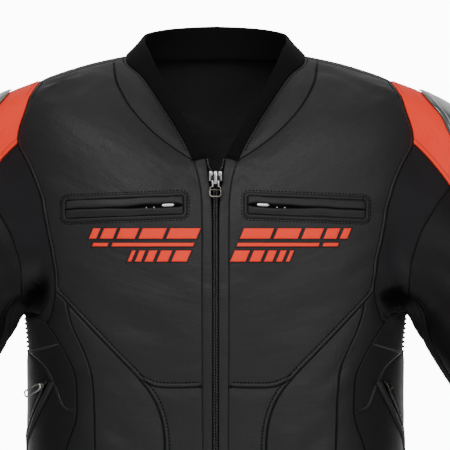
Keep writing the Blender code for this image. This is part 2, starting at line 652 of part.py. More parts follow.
def shell(name, outer, inner, faces, ring, mat):
    """Joins an outer and an inner face along their outline into one closed wall."""
    count = len(outer)
    every = [list(f) for f in faces] + [[i + count for i in reversed(f)] for f in faces]
    for k in range(len(ring)):
        a = ring[k]
        b = ring[(k + 1) % len(ring)]
        # Both neighbours of a seam split the same wall along the same diagonal.
        if outer[a] @ WALL_KEY > outer[b] @ WALL_KEY:
            every += [[b, a, b + count], [a, a + count, b + count]]
        else:
            every += [[b, a, a + count], [b, a + count, b + count]]
    return add_object(name, np.concatenate([outer, inner]), every, mat)


def mirror_x(points):
    return points * np.array([-1.0, 1.0, 1.0])


def both_sides(name, outer, inner, faces, ring, mat):
    shell(name + "_left", outer, inner, faces, ring, mat)
    shell(name + "_right", mirror_x(outer), mirror_x(inner), [f[::-1] for f in faces], ring[::-1], mat)


def joined_loop(parts, chart_key, shifts=None):
    """Joins seams end to end into one closed loop of surface places, points and normals."""
    ab = []
    p = []
    n = []
    for k, seam in enumerate(parts):
        place = getattr(seam, chart_key)
        if shifts is not None:
            place = place + np.array([math.radians(shifts[k]), 0.0])
        ab.append(place[:-1])
        p.append(seam.p[:-1])
        n.append(seam.n[:-1])
    return np.concatenate(ab), np.concatenate(p), np.concatenate(n)


def panel_faces(chart, ab, p, n, spacing, thick):
    """The outer and inner faces of a cut panel, and its triangles."""
    flat = chart.flat(ab[:, 0], ab[:, 1])
    area = (flat[:, 0] * np.roll(flat[:, 1], -1) - np.roll(flat[:, 0], -1) * flat[:, 1]).sum()
    ring = list(range(len(flat)))
    if area < 0:
        flat, p, n = flat[::-1], p[::-1], n[::-1]
    every, faces = cut_flat(flat, spacing)
    edge = pulled_in(p, n, SEAM_GAP / 2)
    a, b = chart.back(every[len(flat):])
    mid_n = chart.normal(a, b)
    mid_p = folded(chart.point(a, b), mid_n)
    outer = np.concatenate([edge, mid_p])
    normals = np.concatenate([n, mid_n])
    return outer, outer - normals * thick, faces, ring


def find(seams, name):
    return seams[name[1:]].turned() if name.startswith("-") else seams[name]


def signed_volume(verts, faces):
    total = 0.0
    for f in faces:
        for k in range(1, len(f) - 1):
            total += np.dot(verts[f[0]], np.cross(verts[f[k]], verts[f[k + 1]]))
    return total


def grid_solid(name, outer, inner, mat, closed=False, origin=(0.0, 0.0, 0.0)):
    """A closed body between two grids of points. closed joins the first and the last row."""
    rows, cols = outer.shape[:2]
    verts = np.concatenate([outer.reshape(-1, 3), inner.reshape(-1, 3)])
    half = rows * cols
    faces = []
    turns = rows if closed else rows - 1
    for i in range(turns):
        k = (i + 1) % rows
        for j in range(cols - 1):
            a, b, c, d = i * cols + j, k * cols + j, k * cols + j + 1, i * cols + j + 1
            faces.append([a, b, c, d])
            faces.append([d + half, c + half, b + half, a + half])
        first, last = i * cols, i * cols + cols - 1
        first_k, last_k = k * cols, k * cols + cols - 1
        faces.append([first_k, first, first + half, first_k + half])
        faces.append([last, last_k, last_k + half, last + half])
    if not closed:
        for j in range(cols - 1):
            faces.append([j, j + 1, j + 1 + half, j + half])
            end = (rows - 1) * cols + j
            faces.append([end + 1, end, end + half, end + 1 + half])
    if signed_volume(verts - verts.mean(0), faces) < 0:
        faces = [f[::-1] for f in faces]
    return add_object(name, verts, faces, mat, origin)


def grid_pair(name, outer, inner, mat, closed=False):
    grid_solid(name + "_left", outer, inner, mat, closed)
    grid_solid(name + "_right", mirror_x(outer), mirror_x(inner), mat, closed)


def front_place(x, z):
    """The torso angle and ring of a point of the front, from its width and height."""
    x, z = np.broadcast_arrays(np.asarray(x, float), np.asarray(z, float))
    sign = np.where(x < 0, -1.0, 1.0)
    low = np.zeros(x.shape)
    high = np.full(x.shape, math.radians(84))
    for _ in range(40):
        mid = (low + high) / 2
        short = torso(mid, ring_at(mid, z))[..., 0] < np.abs(x)
        low = np.where(short, mid, low)
        high = np.where(short, high, mid)
    phi = (low + high) / 2
    return phi * sign, ring_at(phi, z)


def on_front(x, z, lift):
    phi, t = front_place(x, z)
    n = torso_normal(phi, t)
    return folded(torso(phi, t), n) + n * np.asarray(lift)[..., None]


for item in list(bpy.data.objects):
    bpy.data.objects.remove(item, do_unlink=True)

seams = {name: torso_seam(rows, FIXED_STEPS.get(name)) for name, rows in TORSO_SEAMS.items()}
seams.update({name: hole_seam(*ends, FIXED_STEPS.get(name)) for name, ends in HOLE_ARCS.items()})
seams.update({name: sleeve_seam(rows) for name, rows in SLEEVE_SEAMS.items()})

# Panels of the body.
for name, names in TORSO_PANELS.items():
    loop = joined_loop([find(seams, item) for item in names], "torso_ab")
    space = BACK_SPACING if name == "back_side" else FRONT_SPACING
    both_sides(name, *panel_faces(Torso, *loop, space, LEATHER), "black_leather")

for name, (crossing, rest) in BACK_PANELS.items():
    right_half = [find(seams, item) for item in rest]
    top = find(seams, crossing[0])
    low = right_half[0]
    parts = [top, top.turned().mirrored()]
    if name == "yoke":
        parts += [seam.turned().mirrored() for seam in reversed(right_half[1:])]
        parts += [low.mirrored(), low.turned()] + right_half[1:]
    else:
        parts += [find(seams, "hole_back").turned().mirrored()]
        parts += [find(seams, "back_side").mirrored(), low.mirrored(), low.turned()]
        parts += [find(seams, "-back_side"), find(seams, "hole_back")]
    loop = joined_loop(parts, "torso_ab")
    shell(name, *panel_faces(Torso, *loop, BACK_SPACING, LEATHER), "black_leather")

# Panels of the sleeves.
for name, (thick, mat, names) in SLEEVE_PANELS.items():
    parts = [find(seams, item) for item, _ in names]
    loop = joined_loop(parts, "sleeve_ab", [shift for _, shift in names])
    both_sides(name, *panel_faces(Sleeve, *loop, SLEEVE_SPACING, thick), mat)

# Collar band. Its lower edge follows the collar seam, and its top edge stands free.
foot = joined_loop([seams["collar_front"], seams["collar_back"]], "torso_ab")
half_ab = np.concatenate([foot[0], [[math.pi, 1.0]]])
half_p = np.concatenate([foot[1], seams["collar_back"].p[-1:]])
top_at = [Curve([row[0] for row in COLLAR_TOP], [row[k] for row in COLLAR_TOP]) for k in (1, 2, 3)]
half_top = np.stack([line(np.degrees(half_ab[:, 0])) for line in top_at], -1)
half_out = np.stack([np.sin(half_ab[:, 0]), -np.cos(half_ab[:, 0]), np.full(len(half_ab), 0.25)], -1)
low = np.concatenate([half_p, mirror_x(half_p[:-1])[::-1]])
high = np.concatenate([half_top, mirror_x(half_top[:-1])[::-1]])
swell = unit(np.concatenate([half_out, mirror_x(half_out[:-1])[::-1]]))
across = np.linspace(0, 1, 5)
band = low[:, None] * (1 - across[None, :, None]) + high[:, None] * across[None, :, None]
stand = np.clip((np.arange(len(low)) / 4.0), 0, 1)
stand = np.minimum(stand, stand[::-1])[:, None, None]
band = band + swell[:, None] * (np.sin(math.pi * across) * 0.0035)[None, :, None] * stand
band_n = unit(np.cross(np.gradient(band, axis=0), np.gradient(band, axis=1)))
band[:, 0] += unit(high - low) * SEAM_GAP / 2
tip = unit(low[1] - low[0]) * SEAM_GAP / 2
band[0] += tip
band[-1] += mirror_x(tip)
if (band_n[len(low) // 2, 2] @ np.array([0.0, 1.0, 0.0])) < 0:
    band_n = -band_n
grid_solid("collar", band, band - band_n * COLLAR_THICK, "collar_knit")

# Ribbed stretch panel under the arm, towards the back.
top_seam = seams["hole_ribs"]
foot_seam = seams["rib_foot"]
down = np.linspace(0, 1, RIB_COUNT * 4 + 1)
rib_ab = top_seam.torso_ab[None] * (1 - down[:, None, None]) + foot_seam.torso_ab[None] * down[:, None, None]
rib_n = torso_normal(rib_ab[..., 0], rib_ab[..., 1])
rib_p = folded(torso(rib_ab[..., 0], rib_ab[..., 1]), rib_n)
rib_n[0] = top_seam.n
rib_p[0] = top_seam.p
groove = RIB_DEPTH * np.cos(math.pi * RIB_COUNT * down) ** 2
groove[0] = 0.0
groove[-1] = 0.0
columns_in = np.ones(rib_ab.shape[1])
columns_in[0] = 0.0
columns_in[-1] = 0.0
rib_p = rib_p - rib_n * (groove[:, None] * columns_in[None])[..., None]
rib_p[0] += unit(rib_p[1] - rib_p[0]) * SEAM_GAP / 2
rib_p[-1] += unit(rib_p[-2] - rib_p[-1]) * SEAM_GAP / 2
rib_p[:, 0] += unit(rib_p[:, 1] - rib_p[:, 0]) * SEAM_GAP / 2
rib_p[:, -1] += unit(rib_p[:, -2] - rib_p[:, -1]) * SEAM_GAP / 2
grid_pair("rib_panel", rib_p, rib_p - rib_n * STRETCH, "stretch")

# Hard shoulder plates, lying on the red panels.
edge_rows = PLATE_EDGE + [(-a, b) for a, b in PLATE_EDGE[-2:0:-1]]
edge_ab = through([(a, b * 0.17) for a, b in edge_rows + edge_rows[:1]], 34)[:-1]
edge_ab = np.stack([np.radians(edge_ab[:, 0]), edge_ab[:, 1] / 0.17], -1)
edge_flat = Sleeve.flat(edge_ab[:, 0], edge_ab[:, 1])
next_flat = np.roll(edge_flat, -1, axis=0)
if (edge_flat[:, 0] * next_flat[:, 1] - next_flat[:, 0] * edge_flat[:, 1]).sum() < 0:
    edge_flat = edge_flat[::-1]
centre = edge_flat.mean(0)
inset = edge_flat + unit(centre - edge_flat) * 0.0045
every, faces = cut_flat(inset, 0.0135)
every = np.concatenate([edge_flat, every])
count = len(edge_flat)
faces = [[i + count for i in f] for f in faces]
for k in range(count):
    faces.append([k, (k + 1) % count, (k + 1) % count + count, k + count])
plate_turn, plate_s = Sleeve.back(every)
plate_n = sleeve_normal(plate_turn, plate_s)
plate_p = sleeve(plate_turn, plate_s)
rise = np.full(len(every), PLATE_THICK)
rise[:count] = 0.0012
plate_top = plate_p + plate_n * (PLATE_LIFT + rise)[:, None]
plate_low = plate_p + plate_n * PLATE_LIFT
both_sides("shoulder_plate", plate_top, plate_low, faces, list(range(count)), "plate_gloss")


def pocket_ring(grow, corner, per_corner=3, per_side=7):
    """A rounded rectangle round the pocket slit, as width and height on the chest."""
    half_l = (POCKET_OUT - POCKET_IN) / 2 + grow
    half_h = POCKET_HALF + grow
    pts = []
    for sx, sz, first in ((1, 1, 90), (1, -1, 0), (-1, -1, -90), (-1, 1, 180)):
        for k in range(per_corner + 1):
            turn = math.radians(first - 90 * k / per_corner)
            x = sx * (half_l - corner) + corner * math.cos(turn)
            pts.append((x, sz * (half_h - corner) + corner * math.sin(turn)))
    ring = []
    for k in range(len(pts)):
        a = pts[k]
        b = pts[(k + 1) % len(pts)]
        cuts = per_side if abs(b[0] - a[0]) > half_l else 1
        for c in range(cuts):
            ring.append((a[0] + (b[0] - a[0]) * c / cuts, a[1] + (b[1] - a[1]) * c / cuts))
    ring = np.array(ring)
    share = (ring[:, 0] + (POCKET_OUT - POCKET_IN) / 2) / (POCKET_OUT - POCKET_IN)
    x = (POCKET_IN + POCKET_OUT) / 2 + ring[:, 0]
    z = POCKET_Z_IN + (POCKET_Z_OUT - POCKET_Z_IN) * share + ring[:, 1]
    return x, z


def on_front_grid(xs, zs, lifts):
    """Columns of points at the given widths and heights, each lifted off the panel."""
    return np.stack([on_front(x, z, np.full(x.shape, lift)) for x, z, lift in zip(xs, zs, lifts)], 1)


# Chest pockets: a raised border, two soft lips and the end of the puller.
rings = [pocket_ring(g, c) for g, c in ((0.0002, 0.003), (0.0008, 0.0035), (0.0032, 0.005), (0.0040, 0.006))]
xs = [ring[0] for ring in rings]
zs = [ring[1] for ring in rings]
border = on_front_grid(xs, zs, (LIFT + 0.0006, LIFT + 0.0018, LIFT + 0.0016, LIFT + 0.0004))
under = on_front_grid(xs, zs, (LIFT,) * 4)
grid_pair("chest_pocket_border", border, under, "black_leather", closed=True)
run = np.linspace(0, 1, 11)
lip_x = POCKET_IN + 0.0006 + (POCKET_OUT - POCKET_IN - 0.0012) * run
lip_x[1] = lip_x[0] + 0.0035
lip_x[-2] = lip_x[-1] - 0.0035
slit_z = POCKET_Z_IN + (POCKET_Z_OUT - POCKET_Z_IN) * run
for lip, sign in (("upper", 1), ("lower", -1)):
    offs = (0.0004, 0.0016, 0.0050, 0.0082, 0.0096)
    highs = (0.0008, 0.0024, 0.0022, 0.0010, 0.0006)
    lip_xs = [lip_x] * 5
    taper = np.where((run < 0.01) | (run > 0.99), 0.80, 1.0)
    lip_zs = [slit_z + sign * off * taper for off in offs]
    outer = on_front_grid(lip_xs, lip_zs, [LIFT + h for h in highs])
    inner = on_front_grid(lip_xs, lip_zs, [LIFT] * 5)
    grid_pair("chest_lip_" + lip, outer, inner, "black_leather")
tab_x = np.array([0.0450, 0.0465, 0.0505, 0.0565, 0.0580])
tab_half = np.array([0.0010, 0.0018, 0.0018, 0.0019, 0.0012])
tab_mid = POCKET_Z_IN + (POCKET_Z_OUT - POCKET_Z_IN) * (tab_x - POCKET_IN) / (POCKET_OUT - POCKET_IN)
tab_xs = [tab_x, tab_x]
tab_zs = [tab_mid - tab_half, tab_mid + tab_half]
tab_face = on_front_grid(tab_xs, tab_zs, [0.0046] * 2)
tab_back = on_front_grid(tab_xs, tab_zs, [0.0032] * 2)
grid_pair("chest_pull", tab_face, tab_back, "bright_metal")

# Front zip: the closed chain, and the two open ends above the slider.
chain_z = np.linspace(-0.1385, HEM_Z + 0.001, 19)
chain_xs = [np.full(19, x) for x in (-CHAIN_HALF, 0.0, CHAIN_HALF)]
chain = on_front_grid(chain_xs, [chain_z] * 3, (0.0, 0.0008, 0.0))
chain_under = on_front_grid(chain_xs, [chain_z] * 3, (-0.0020,) * 3)
grid_solid("zip_chain", chain, chain_under, "zip_tape")
edge_rows = TORSO_SEAMS["placket_in"]
open_z = np.linspace(-0.1118, -0.1370, 5)
edge_phi = np.radians(Curve([-row[1] for row in edge_rows], [row[0] for row in edge_rows])(-open_z))
edge_x = torso(edge_phi, ring_at(edge_phi, open_z))[:, 0]
open_xs = [edge_x - 0.0038, edge_x - 0.0005]
arm = on_front_grid(open_xs, [open_z] * 2, (0.0002, 0.0002))
arm_under = on_front_grid(open_xs, [open_z] * 2, (-0.0018, -0.0018))
grid_pair("zip_open", arm[::-1], arm_under[::-1], "zip_tape")


def plate_from(rows, name, mat, face_y, thick, centre_z):
    """A flat upright piece from a half outline."""
    outline = rows + [(-a, b) for a, b in reversed(rows)]
    front = np.array([(a, face_y - thick, centre_z + b) for a, b in outline])
    rear = front + np.array([0.0, thick, 0.0])
    return add_object(name, np.concatenate([front, rear]), prism_faces(len(outline)), mat)


def prism_faces(count):
    faces = [list(range(count)), list(range(2 * count - 1, count - 1, -1))]
    for k in range(count):
        j = (k + 1) % count
        faces.append([j, k, k + count, j + count])
    return faces


def box_mesh(bm, low, high):
    made = bmesh.ops.create_cube(bm, size=1.0)["verts"]
    for v in made:
        for k in range(3):
            v.co[k] = low[k] + (high[k] - low[k]) * (v.co[k] + 0.5)


def boxes_object(name, boxes, mat, target=None, operation="UNION"):
    """Boxes joined to, or cut from, a target."""
    for low, high in boxes:
        bm = bmesh.new()
        box_mesh(bm, low, high)
        mesh = bpy.data.meshes.new(name)
        bm.to_mesh(mesh)
        bm.free()
        tool = bpy.data.objects.new(name + "_tool", mesh)
        bpy.context.scene.collection.objects.link(tool)
        mod = target.modifiers.new("join", "BOOLEAN")
        mod.operation = operation
        mod.solver = "EXACT"
        mod.object = tool
        graph = bpy.context.evaluated_depsgraph_get()
        result = bpy.data.meshes.new_from_object(target.evaluated_get(graph))
        target.modifiers.remove(mod)
        target.data = result
        bpy.data.objects.remove(tool, do_unlink=True)


# Front slider with its bridge, leaning with the chest. The puller hangs from the pin under the bridge.
lean_z = SLIDER_Z + np.array([0.007, 0.0, -0.007])
lean_pts = on_front(np.zeros(3), lean_z, np.full(3, 0.0012))
LEAN = math.atan2(lean_pts[0, 1] - lean_pts[2, 1], lean_pts[0, 2] - lean_pts[2, 2])
SLIDER_AT = lean_pts[1]


def leaned(points):
    """Turns points of the upright slider frame about X, onto the slope of the chest."""
    c = math.cos(LEAN)
    w = math.sin(LEAN)
    points = np.asarray(points, float)
    y = points[..., 1] * c + points[..., 2] * w
    z = points[..., 2] * c - points[..., 1] * w
    return np.stack([points[..., 0], y, z], -1) + SLIDER_AT


slider = plate_from(SLIDER_EDGE, "slider", "bright_metal", 0.0, SLIDER_THICK, 0.0)
face_y = -SLIDER_THICK
arch = [((-BRIDGE_HALF, face_y - BRIDGE_HIGH, -0.0062), (BRIDGE_HALF, face_y + 0.0005, 0.0052))]
boxes_object("slider", arch, "bright_metal", slider)
hole = [((-0.0100, face_y - BRIDGE_HIGH + 0.0011, -0.0047), (0.0100, face_y - 0.0001, 0.0037))]
boxes_object("slider", hole, "bright_metal", slider, "DIFFERENCE")
for vert in slider.data.vertices:
    vert.co = leaned(vert.co)
pin_local = np.array([0.0, face_y - 0.0015, PULLER_PIN])
pin = tuple(float(c) for c in leaned(pin_local))


def framed(rows):
    """Outer and inner closed outlines of an open frame."""
    outer = [(a, b) for a, b, _, _ in rows] + [(-a, b) for a, b, _, _ in reversed(rows)]
    inner = [(c, d) for _, _, c, d in rows] + [(-c, d) for _, _, c, d in reversed(rows)]
    return np.array(outer), np.array(inner)


edge_out, edge_in = framed(PULLER_EDGE)
puller = np.zeros((len(edge_out), 2, 3))
puller[:, 0, 0], puller[:, 0, 2] = edge_out[:, 0], -edge_out[:, 1]
puller[:, 1, 0], puller[:, 1, 2] = edge_in[:, 0], -edge_in[:, 1]
puller = puller + pin_local
puller_front = leaned(puller + np.array([0.0, -PULLER_THICK / 2, 0.0]))
puller_rear = leaned(puller + np.array([0.0, PULLER_THICK / 2, 0.0]))
grid_solid("puller", puller_front, puller_rear, "dark_metal", closed=True, origin=pin)

# Side pockets: zip strip, leather welt, slider and puller.
zip_line = through(SIDE_ZIP, 10)
zip_phi = np.radians(zip_line[:, 0])


def side_strip(offsets, lifts, line=slice(None)):
    """A strip beside the side zip. Offsets are measured forward of the zip, in metres."""
    rows = []
    for off, lift in zip(offsets, lifts):
        phi = zip_phi[line] - off / 0.165
        t = ring_at(phi, zip_line[line][:, 1])
        n = torso_normal(phi, t)
        rows.append(folded(torso(phi, t), n) + n * lift)
    return np.stack(rows, 1)


strip = side_strip((-0.0030, 0.0, 0.0030), (LIFT + 0.0010, LIFT + 0.0018, LIFT + 0.0010))
grid_pair("side_zip", strip, side_strip((-0.0030, 0.0, 0.0030), (LIFT,) * 3), "zip_tape")
welt_at = (0.0036, 0.0050, 0.0090, 0.0105)
welt = side_strip(welt_at, (LIFT + 0.0008, LIFT + 0.0022, LIFT + 0.0020, LIFT + 0.0006))
grid_pair("side_welt", welt, side_strip(welt_at, (LIFT,) * 4), "black_leather")


def local_box(centre, along, outward, length, width, low, high):
    """A small block on the surface: along its length, low to high off the cloth."""
    sideways = np.cross(outward, along)
    grid = np.zeros((2, 2, 3))
    for i, u in enumerate((-0.5, 0.5)):
        for j, v in enumerate((-0.5, 0.5)):
            grid[i, j] = centre + along * length * u + sideways * width * v
    return grid + outward * high, grid + outward * low


zip_p = side_strip((0.0,), (0.0,))[:, 0]
zip_ab = (zip_phi[0], float(ring_at(zip_phi[0], zip_line[0, 1])))
out_n = torso_normal(np.array(zip_ab[0]), np.array(zip_ab[1]))
zip_dir = unit(zip_p[1] - zip_p[0])
zip_dir = unit(zip_dir - out_n * (zip_dir @ out_n))
head = zip_p[0] + zip_dir * 0.0060
top_box, low_box = local_box(head, zip_dir, out_n, 0.0100, 0.0062, LIFT + 0.0024, LIFT + 0.0054)
grid_pair("side_slider", top_box, low_box, "bright_metal")
pull_across = unit(np.cross(out_n, np.array([0.0, 0.0, 1.0])))
pull_across = pull_across * np.sign(pull_across[0])
pull_down = unit(np.cross(out_n, pull_across))
pull_down = pull_down * -np.sign(pull_down[2])
pull_dir = unit(pull_across + pull_down * 0.42 + out_n * 0.06)
pull_face = unit(out_n - pull_dir * (out_n @ pull_dir))
pull_side = np.cross(pull_face, pull_dir)
pull_pin = head + out_n * (LIFT + 0.0068) - pull_dir * 0.0010
half_l = SIDE_PULL_LONG / 2
half_w = SIDE_PULL_WIDE / 2
outer_edge = [(-half_l, -half_w * 0.55), (-half_l, half_w * 0.55), (-half_l + 0.006, half_w),
              (half_l - 0.002, half_w), (half_l, half_w * 0.6), (half_l, -half_w * 0.6),
              (half_l - 0.002, -half_w), (-half_l + 0.006, -half_w)]
pull = np.zeros((8, 2, 3))
for k, (a, b) in enumerate(outer_edge):
    shrink_a = (half_l - SIDE_PULL_BAR) / half_l
    shrink_b = (half_w - SIDE_PULL_BAR) / half_w
    pull[k, 0] = pull_pin + pull_dir * (a + half_l) + pull_side * b
    pull[k, 1] = pull_pin + pull_dir * (a * shrink_a + half_l) + pull_side * b * shrink_b
right_pin = mirror_x(pull_pin)
pull_top = mirror_x(pull + pull_face * 0.0007)
pull_low = mirror_x(pull - pull_face * 0.0007)
pin_at = tuple(float(c) for c in right_pin)
grid_solid("side_pull_right", pull_top, pull_low, "bright_metal", closed=True, origin=pin_at)
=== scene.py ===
# A motorcycle jacket in its worn form: the looks of every panel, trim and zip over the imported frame.
# Metres. The front faces -Y, and +X is the wearer's left side.
import math
import bmesh
import bpy
import numpy as np
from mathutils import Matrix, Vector
from mathutils.geometry import delaunay_2d_cdt


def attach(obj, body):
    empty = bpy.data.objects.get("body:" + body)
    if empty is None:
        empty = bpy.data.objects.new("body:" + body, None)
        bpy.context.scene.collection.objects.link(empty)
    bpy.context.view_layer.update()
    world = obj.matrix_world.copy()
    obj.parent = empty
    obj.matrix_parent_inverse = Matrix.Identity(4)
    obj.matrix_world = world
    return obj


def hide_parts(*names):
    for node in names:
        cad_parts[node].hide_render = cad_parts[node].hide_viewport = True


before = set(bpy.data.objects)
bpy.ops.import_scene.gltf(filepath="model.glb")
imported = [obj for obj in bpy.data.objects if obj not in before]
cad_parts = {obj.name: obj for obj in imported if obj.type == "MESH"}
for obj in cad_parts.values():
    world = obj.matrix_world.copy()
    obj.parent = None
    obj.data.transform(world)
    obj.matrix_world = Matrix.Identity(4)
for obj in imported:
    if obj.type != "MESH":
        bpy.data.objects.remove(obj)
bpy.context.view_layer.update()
print("frame loaded")

# Cloth sizes in metres. Finer steps give smoother panels and a bigger model.
cloth = {"leather": 0.0018, "stretch": 0.0016, "seamGap": 0.00004, "seamStep": 0.006,
         "frontStep": 0.0062, "backStep": 0.0085, "sleeveStep": 0.0075, "edgeRow": 0.0028, "creases": 1.6}

hemZ = -0.645
sides = (("left", 1.0), ("right", -1.0))

# Horizontal shape of the body. Widths are half widths, and depths are measured from the side seam line.
# ring, side_x, side_z, front_y, front_z, back_y, back_z, squareness
torsoRings = [
    ("neck", 0.080, 0.0190, 0.058, -0.050, 0.060, 0.022, 2.0),
    ("collar foot", 0.101, 0.0090, 0.080, -0.078, 0.080, 0.012, 2.1),
    ("mid shoulder", 0.145, -0.0020, 0.101, -0.105, 0.102, -0.016, 2.2),
    ("shoulder tip", 0.195, -0.0185, 0.116, -0.135, 0.115, -0.050, 2.3),
    ("shoulder side", 0.227, -0.0330, 0.124, -0.160, 0.122, -0.085, 2.35),
    ("upper chest", 0.241, -0.0780, 0.130, -0.190, 0.127, -0.125, 2.4),
    ("chest", 0.240, -0.1450, 0.135, -0.230, 0.129, -0.175, 2.4),
    ("low chest", 0.229, -0.2180, 0.137, -0.270, 0.126, -0.230, 2.4),
    ("armpit", 0.217, -0.2850, 0.136, -0.315, 0.121, -0.290, 2.4),
    ("ribs", 0.213, -0.3450, 0.133, -0.360, 0.114, -0.350, 2.4),
    ("belly", 0.212, -0.4250, 0.130, -0.430, 0.108, -0.425, 2.4),
    ("waist", 0.208, -0.5000, 0.129, -0.500, 0.108, -0.500, 2.4),
    ("hip", 0.208, -0.5750, 0.131, -0.575, 0.113, -0.575, 2.4),
    ("hem", 0.210, -0.6450, 0.132, -0.645, 0.118, -0.645, 2.4),
]

# The armhole, from the shoulder point round the front and the armpit to the back.
# turn, torso angle, height, pull at the armhole, pull at the upper arm
armholeRows = [
    (0, 90.0, -0.0185, 0.42, 0.42),
    (12, 83.2, -0.0218, 0.40, 0.40),
    (20, 78.6, -0.0275, 0.37, 0.37),
    (30, 74.6, -0.0375, 0.34, 0.34),
    (45, 72.6, -0.0600, 0.27, 0.28),
    (58, 73.4, -0.0900, 0.20, 0.24),
    (72, 69.0, -0.1165, 0.14, 0.20),
    (86, 65.2, -0.1450, 0.11, 0.17),
    (98, 63.4, -0.1690, 0.09, 0.15),
    (112, 62.2, -0.1970, 0.075, 0.13),
    (126, 61.0, -0.2260, 0.065, 0.11),
    (136, 60.8, -0.2500, 0.060, 0.09),
    (146, 62.6, -0.2700, 0.055, 0.07),
    (153, 66.0, -0.2910, 0.050, 0.06),
    (160, 71.0, -0.2870, 0.045, 0.055),
    (170, 80.0, -0.2820, 0.042, 0.05),
    (180, 90.0, -0.2810, 0.042, 0.05),
    (192, 104.0, -0.2810, 0.045, 0.055),
    (205, 112.0, -0.2780, 0.055, 0.07),
    (222, 116.5, -0.2500, 0.065, 0.10),
    (242, 118.0, -0.2050, 0.09, 0.15),
    (262, 117.0, -0.1600, 0.12, 0.18),
    (285, 112.5, -0.1150, 0.18, 0.24),
    (308, 105.0, -0.0800, 0.28, 0.30),
    (335, 97.0, -0.0370, 0.36, 0.38),
    (360, 90.0, -0.0185, 0.42, 0.42),
]

# The sleeve tube from the upper arm to the cuff.
# station, x, y, z, half across, half front to back
armRows = [
    (1.0, 0.289, 0.000, -0.264, 0.073, 0.080),
    (1.5, 0.319, 0.000, -0.316, 0.071, 0.077),
    (2.0, 0.347, -0.008, -0.366, 0.067, 0.072),
    (2.7, 0.372, -0.037, -0.430, 0.062, 0.066),
    (3.4, 0.393, -0.066, -0.494, 0.056, 0.060),
    (4.2, 0.413, -0.096, -0.560, 0.050, 0.054),
]
cuffStation = 4.2
# For flat layouts: the body's and the arm's radius, and the length of one station, in metres.
bodyRadius, armRadius, armStation = 0.17, 0.078, 0.17

# Seams on the body as torso angle and height. A row with the angle "hole" lies on the armhole at that turn.
torsoSeams = {
    "collar_front": [(12.6, -0.1127), (20.0, -0.0892), (35.5, -0.0556), (55.8, -0.0195), (71.0, -0.0020),
                     (80.0, 0.0062)],
    "collar_back": [(80.0, 0.0062), (90.0, 0.0090), (100.0, 0.0091), (130.0, 0.0102), (155.0, 0.0115),
                    (180.0, 0.0120)],
    "leaf": [(12.6, -0.1127), (24.7, -0.0973), (35.7, -0.0785), (47.0, -0.0539), (56.5, -0.0321),
             (68.2, -0.0106), (80.0, 0.0021)],
    "leaf_end": [(80.0, 0.0062), (80.0, 0.0021)],
    "shoulder": [(80.0, 0.0021), (80.0, -0.0051), (80.5, -0.0130), ("hole", 14)],
    "placket_top": [(6.3, -0.1093), (12.6, -0.1127)],
    "placket_in": [(6.3, -0.1093), (2.3, -0.1525), (1.45, -0.2110), (1.45, -0.4000), (1.45, hemZ)],
    "placket_up": [(12.6, -0.1127), (8.4, -0.1370), (6.8, -0.1610), (6.2, -0.2200), (6.1, -0.3587)],
    "placket_low": [(6.1, -0.3587), (6.0, -0.5000), (6.0, hemZ)],
    "chest_low_a": [(6.1, -0.3587), (17.3, -0.3598), (26.2, -0.3589), (31.7, -0.3531), (33.3, -0.3503)],
    "chest_low_b": [(33.3, -0.3503), (35.1, -0.3445), (40.7, -0.3268), (50.3, -0.2946), (57.6, -0.2683)],
    "chest_low_c": [(57.6, -0.2683), ("hole", 139)],
    "belly": [(33.3, -0.3503), (28.7, -0.3670), (25.6, -0.3840), (23.7, -0.4055), (23.3, -0.4270),
              (23.5, -0.5300), (23.5, hemZ)],
    "princess": [(57.6, -0.2683), (56.1, -0.2944), (52.7, -0.3210), (51.1, -0.3370), (50.1, -0.3500),
                 (49.9, -0.3786), (49.9, -0.4124), (49.3, -0.5200), (48.5, hemZ)],
    "third_a": [("hole", 154), (62.5, -0.3076), (61.4, -0.3135)],
    "third_b": [(61.4, -0.3135), (58.8, -0.3281), (56.3, -0.3486), (55.9, -0.3748), (55.9, -0.3850)],
    "third_c": [(55.9, -0.3850), (56.8, -0.4010), (60.3, -0.4300), (64.0, -0.5200), (65.0, hemZ)],
    "across": [(61.4, -0.3135), (69.8, -0.3207), (80.0, -0.3270)],
    "rib_foot": [(80.0, -0.3270), (94.0, -0.3300), (108.0, -0.3310)],
    "pocket_top": [(55.9, -0.3850), (60.7, -0.3835), (63.8, -0.3626), (68.8, -0.3393), (80.0, -0.3270)],
    "rib_front": [("hole", 172), (80.0, -0.3270)],
    "rib_back": [("hole", 192), (108.0, -0.3310)],
    "side_back": [(108.0, -0.3310), (110.0, -0.4500), (112.0, hemZ)],
    "back_side": [("hole", 242), (122.0, -0.3000), (128.0, -0.4200), (133.0, -0.5400), (138.0, hemZ)],
    "yoke": [("hole", 285), (135.0, -0.1280), (180.0, -0.1350)],
    "hem_placket": [(1.45, hemZ), (6.0, hemZ)],
    "hem_belly": [(6.0, hemZ), (23.5, hemZ)],
    "hem_side_front": [(23.5, hemZ), (48.5, hemZ)],
    "hem_lens": [(48.5, hemZ), (65.0, hemZ)],
    "hem_side": [(65.0, hemZ), (112.0, hemZ)],
    "hem_back_side": [(112.0, hemZ), (138.0, hemZ)],
    "hem_back": [(138.0, hemZ), (180.0, hemZ)],
}

# Arcs of the armhole between the seams that meet it, as turns.
holeArcs = {
    "hole_red_front": (14, 60),
    "hole_front": (60, 139),
    "hole_lens": (139, 154),
    "hole_side": (154, 172),
    "hole_ribs": (172, 192),
    "hole_back_side": (192, 242),
    "hole_back": (242, 285),
    "hole_yoke": (285, 300),
    "hole_red_back": (300, 374),
}

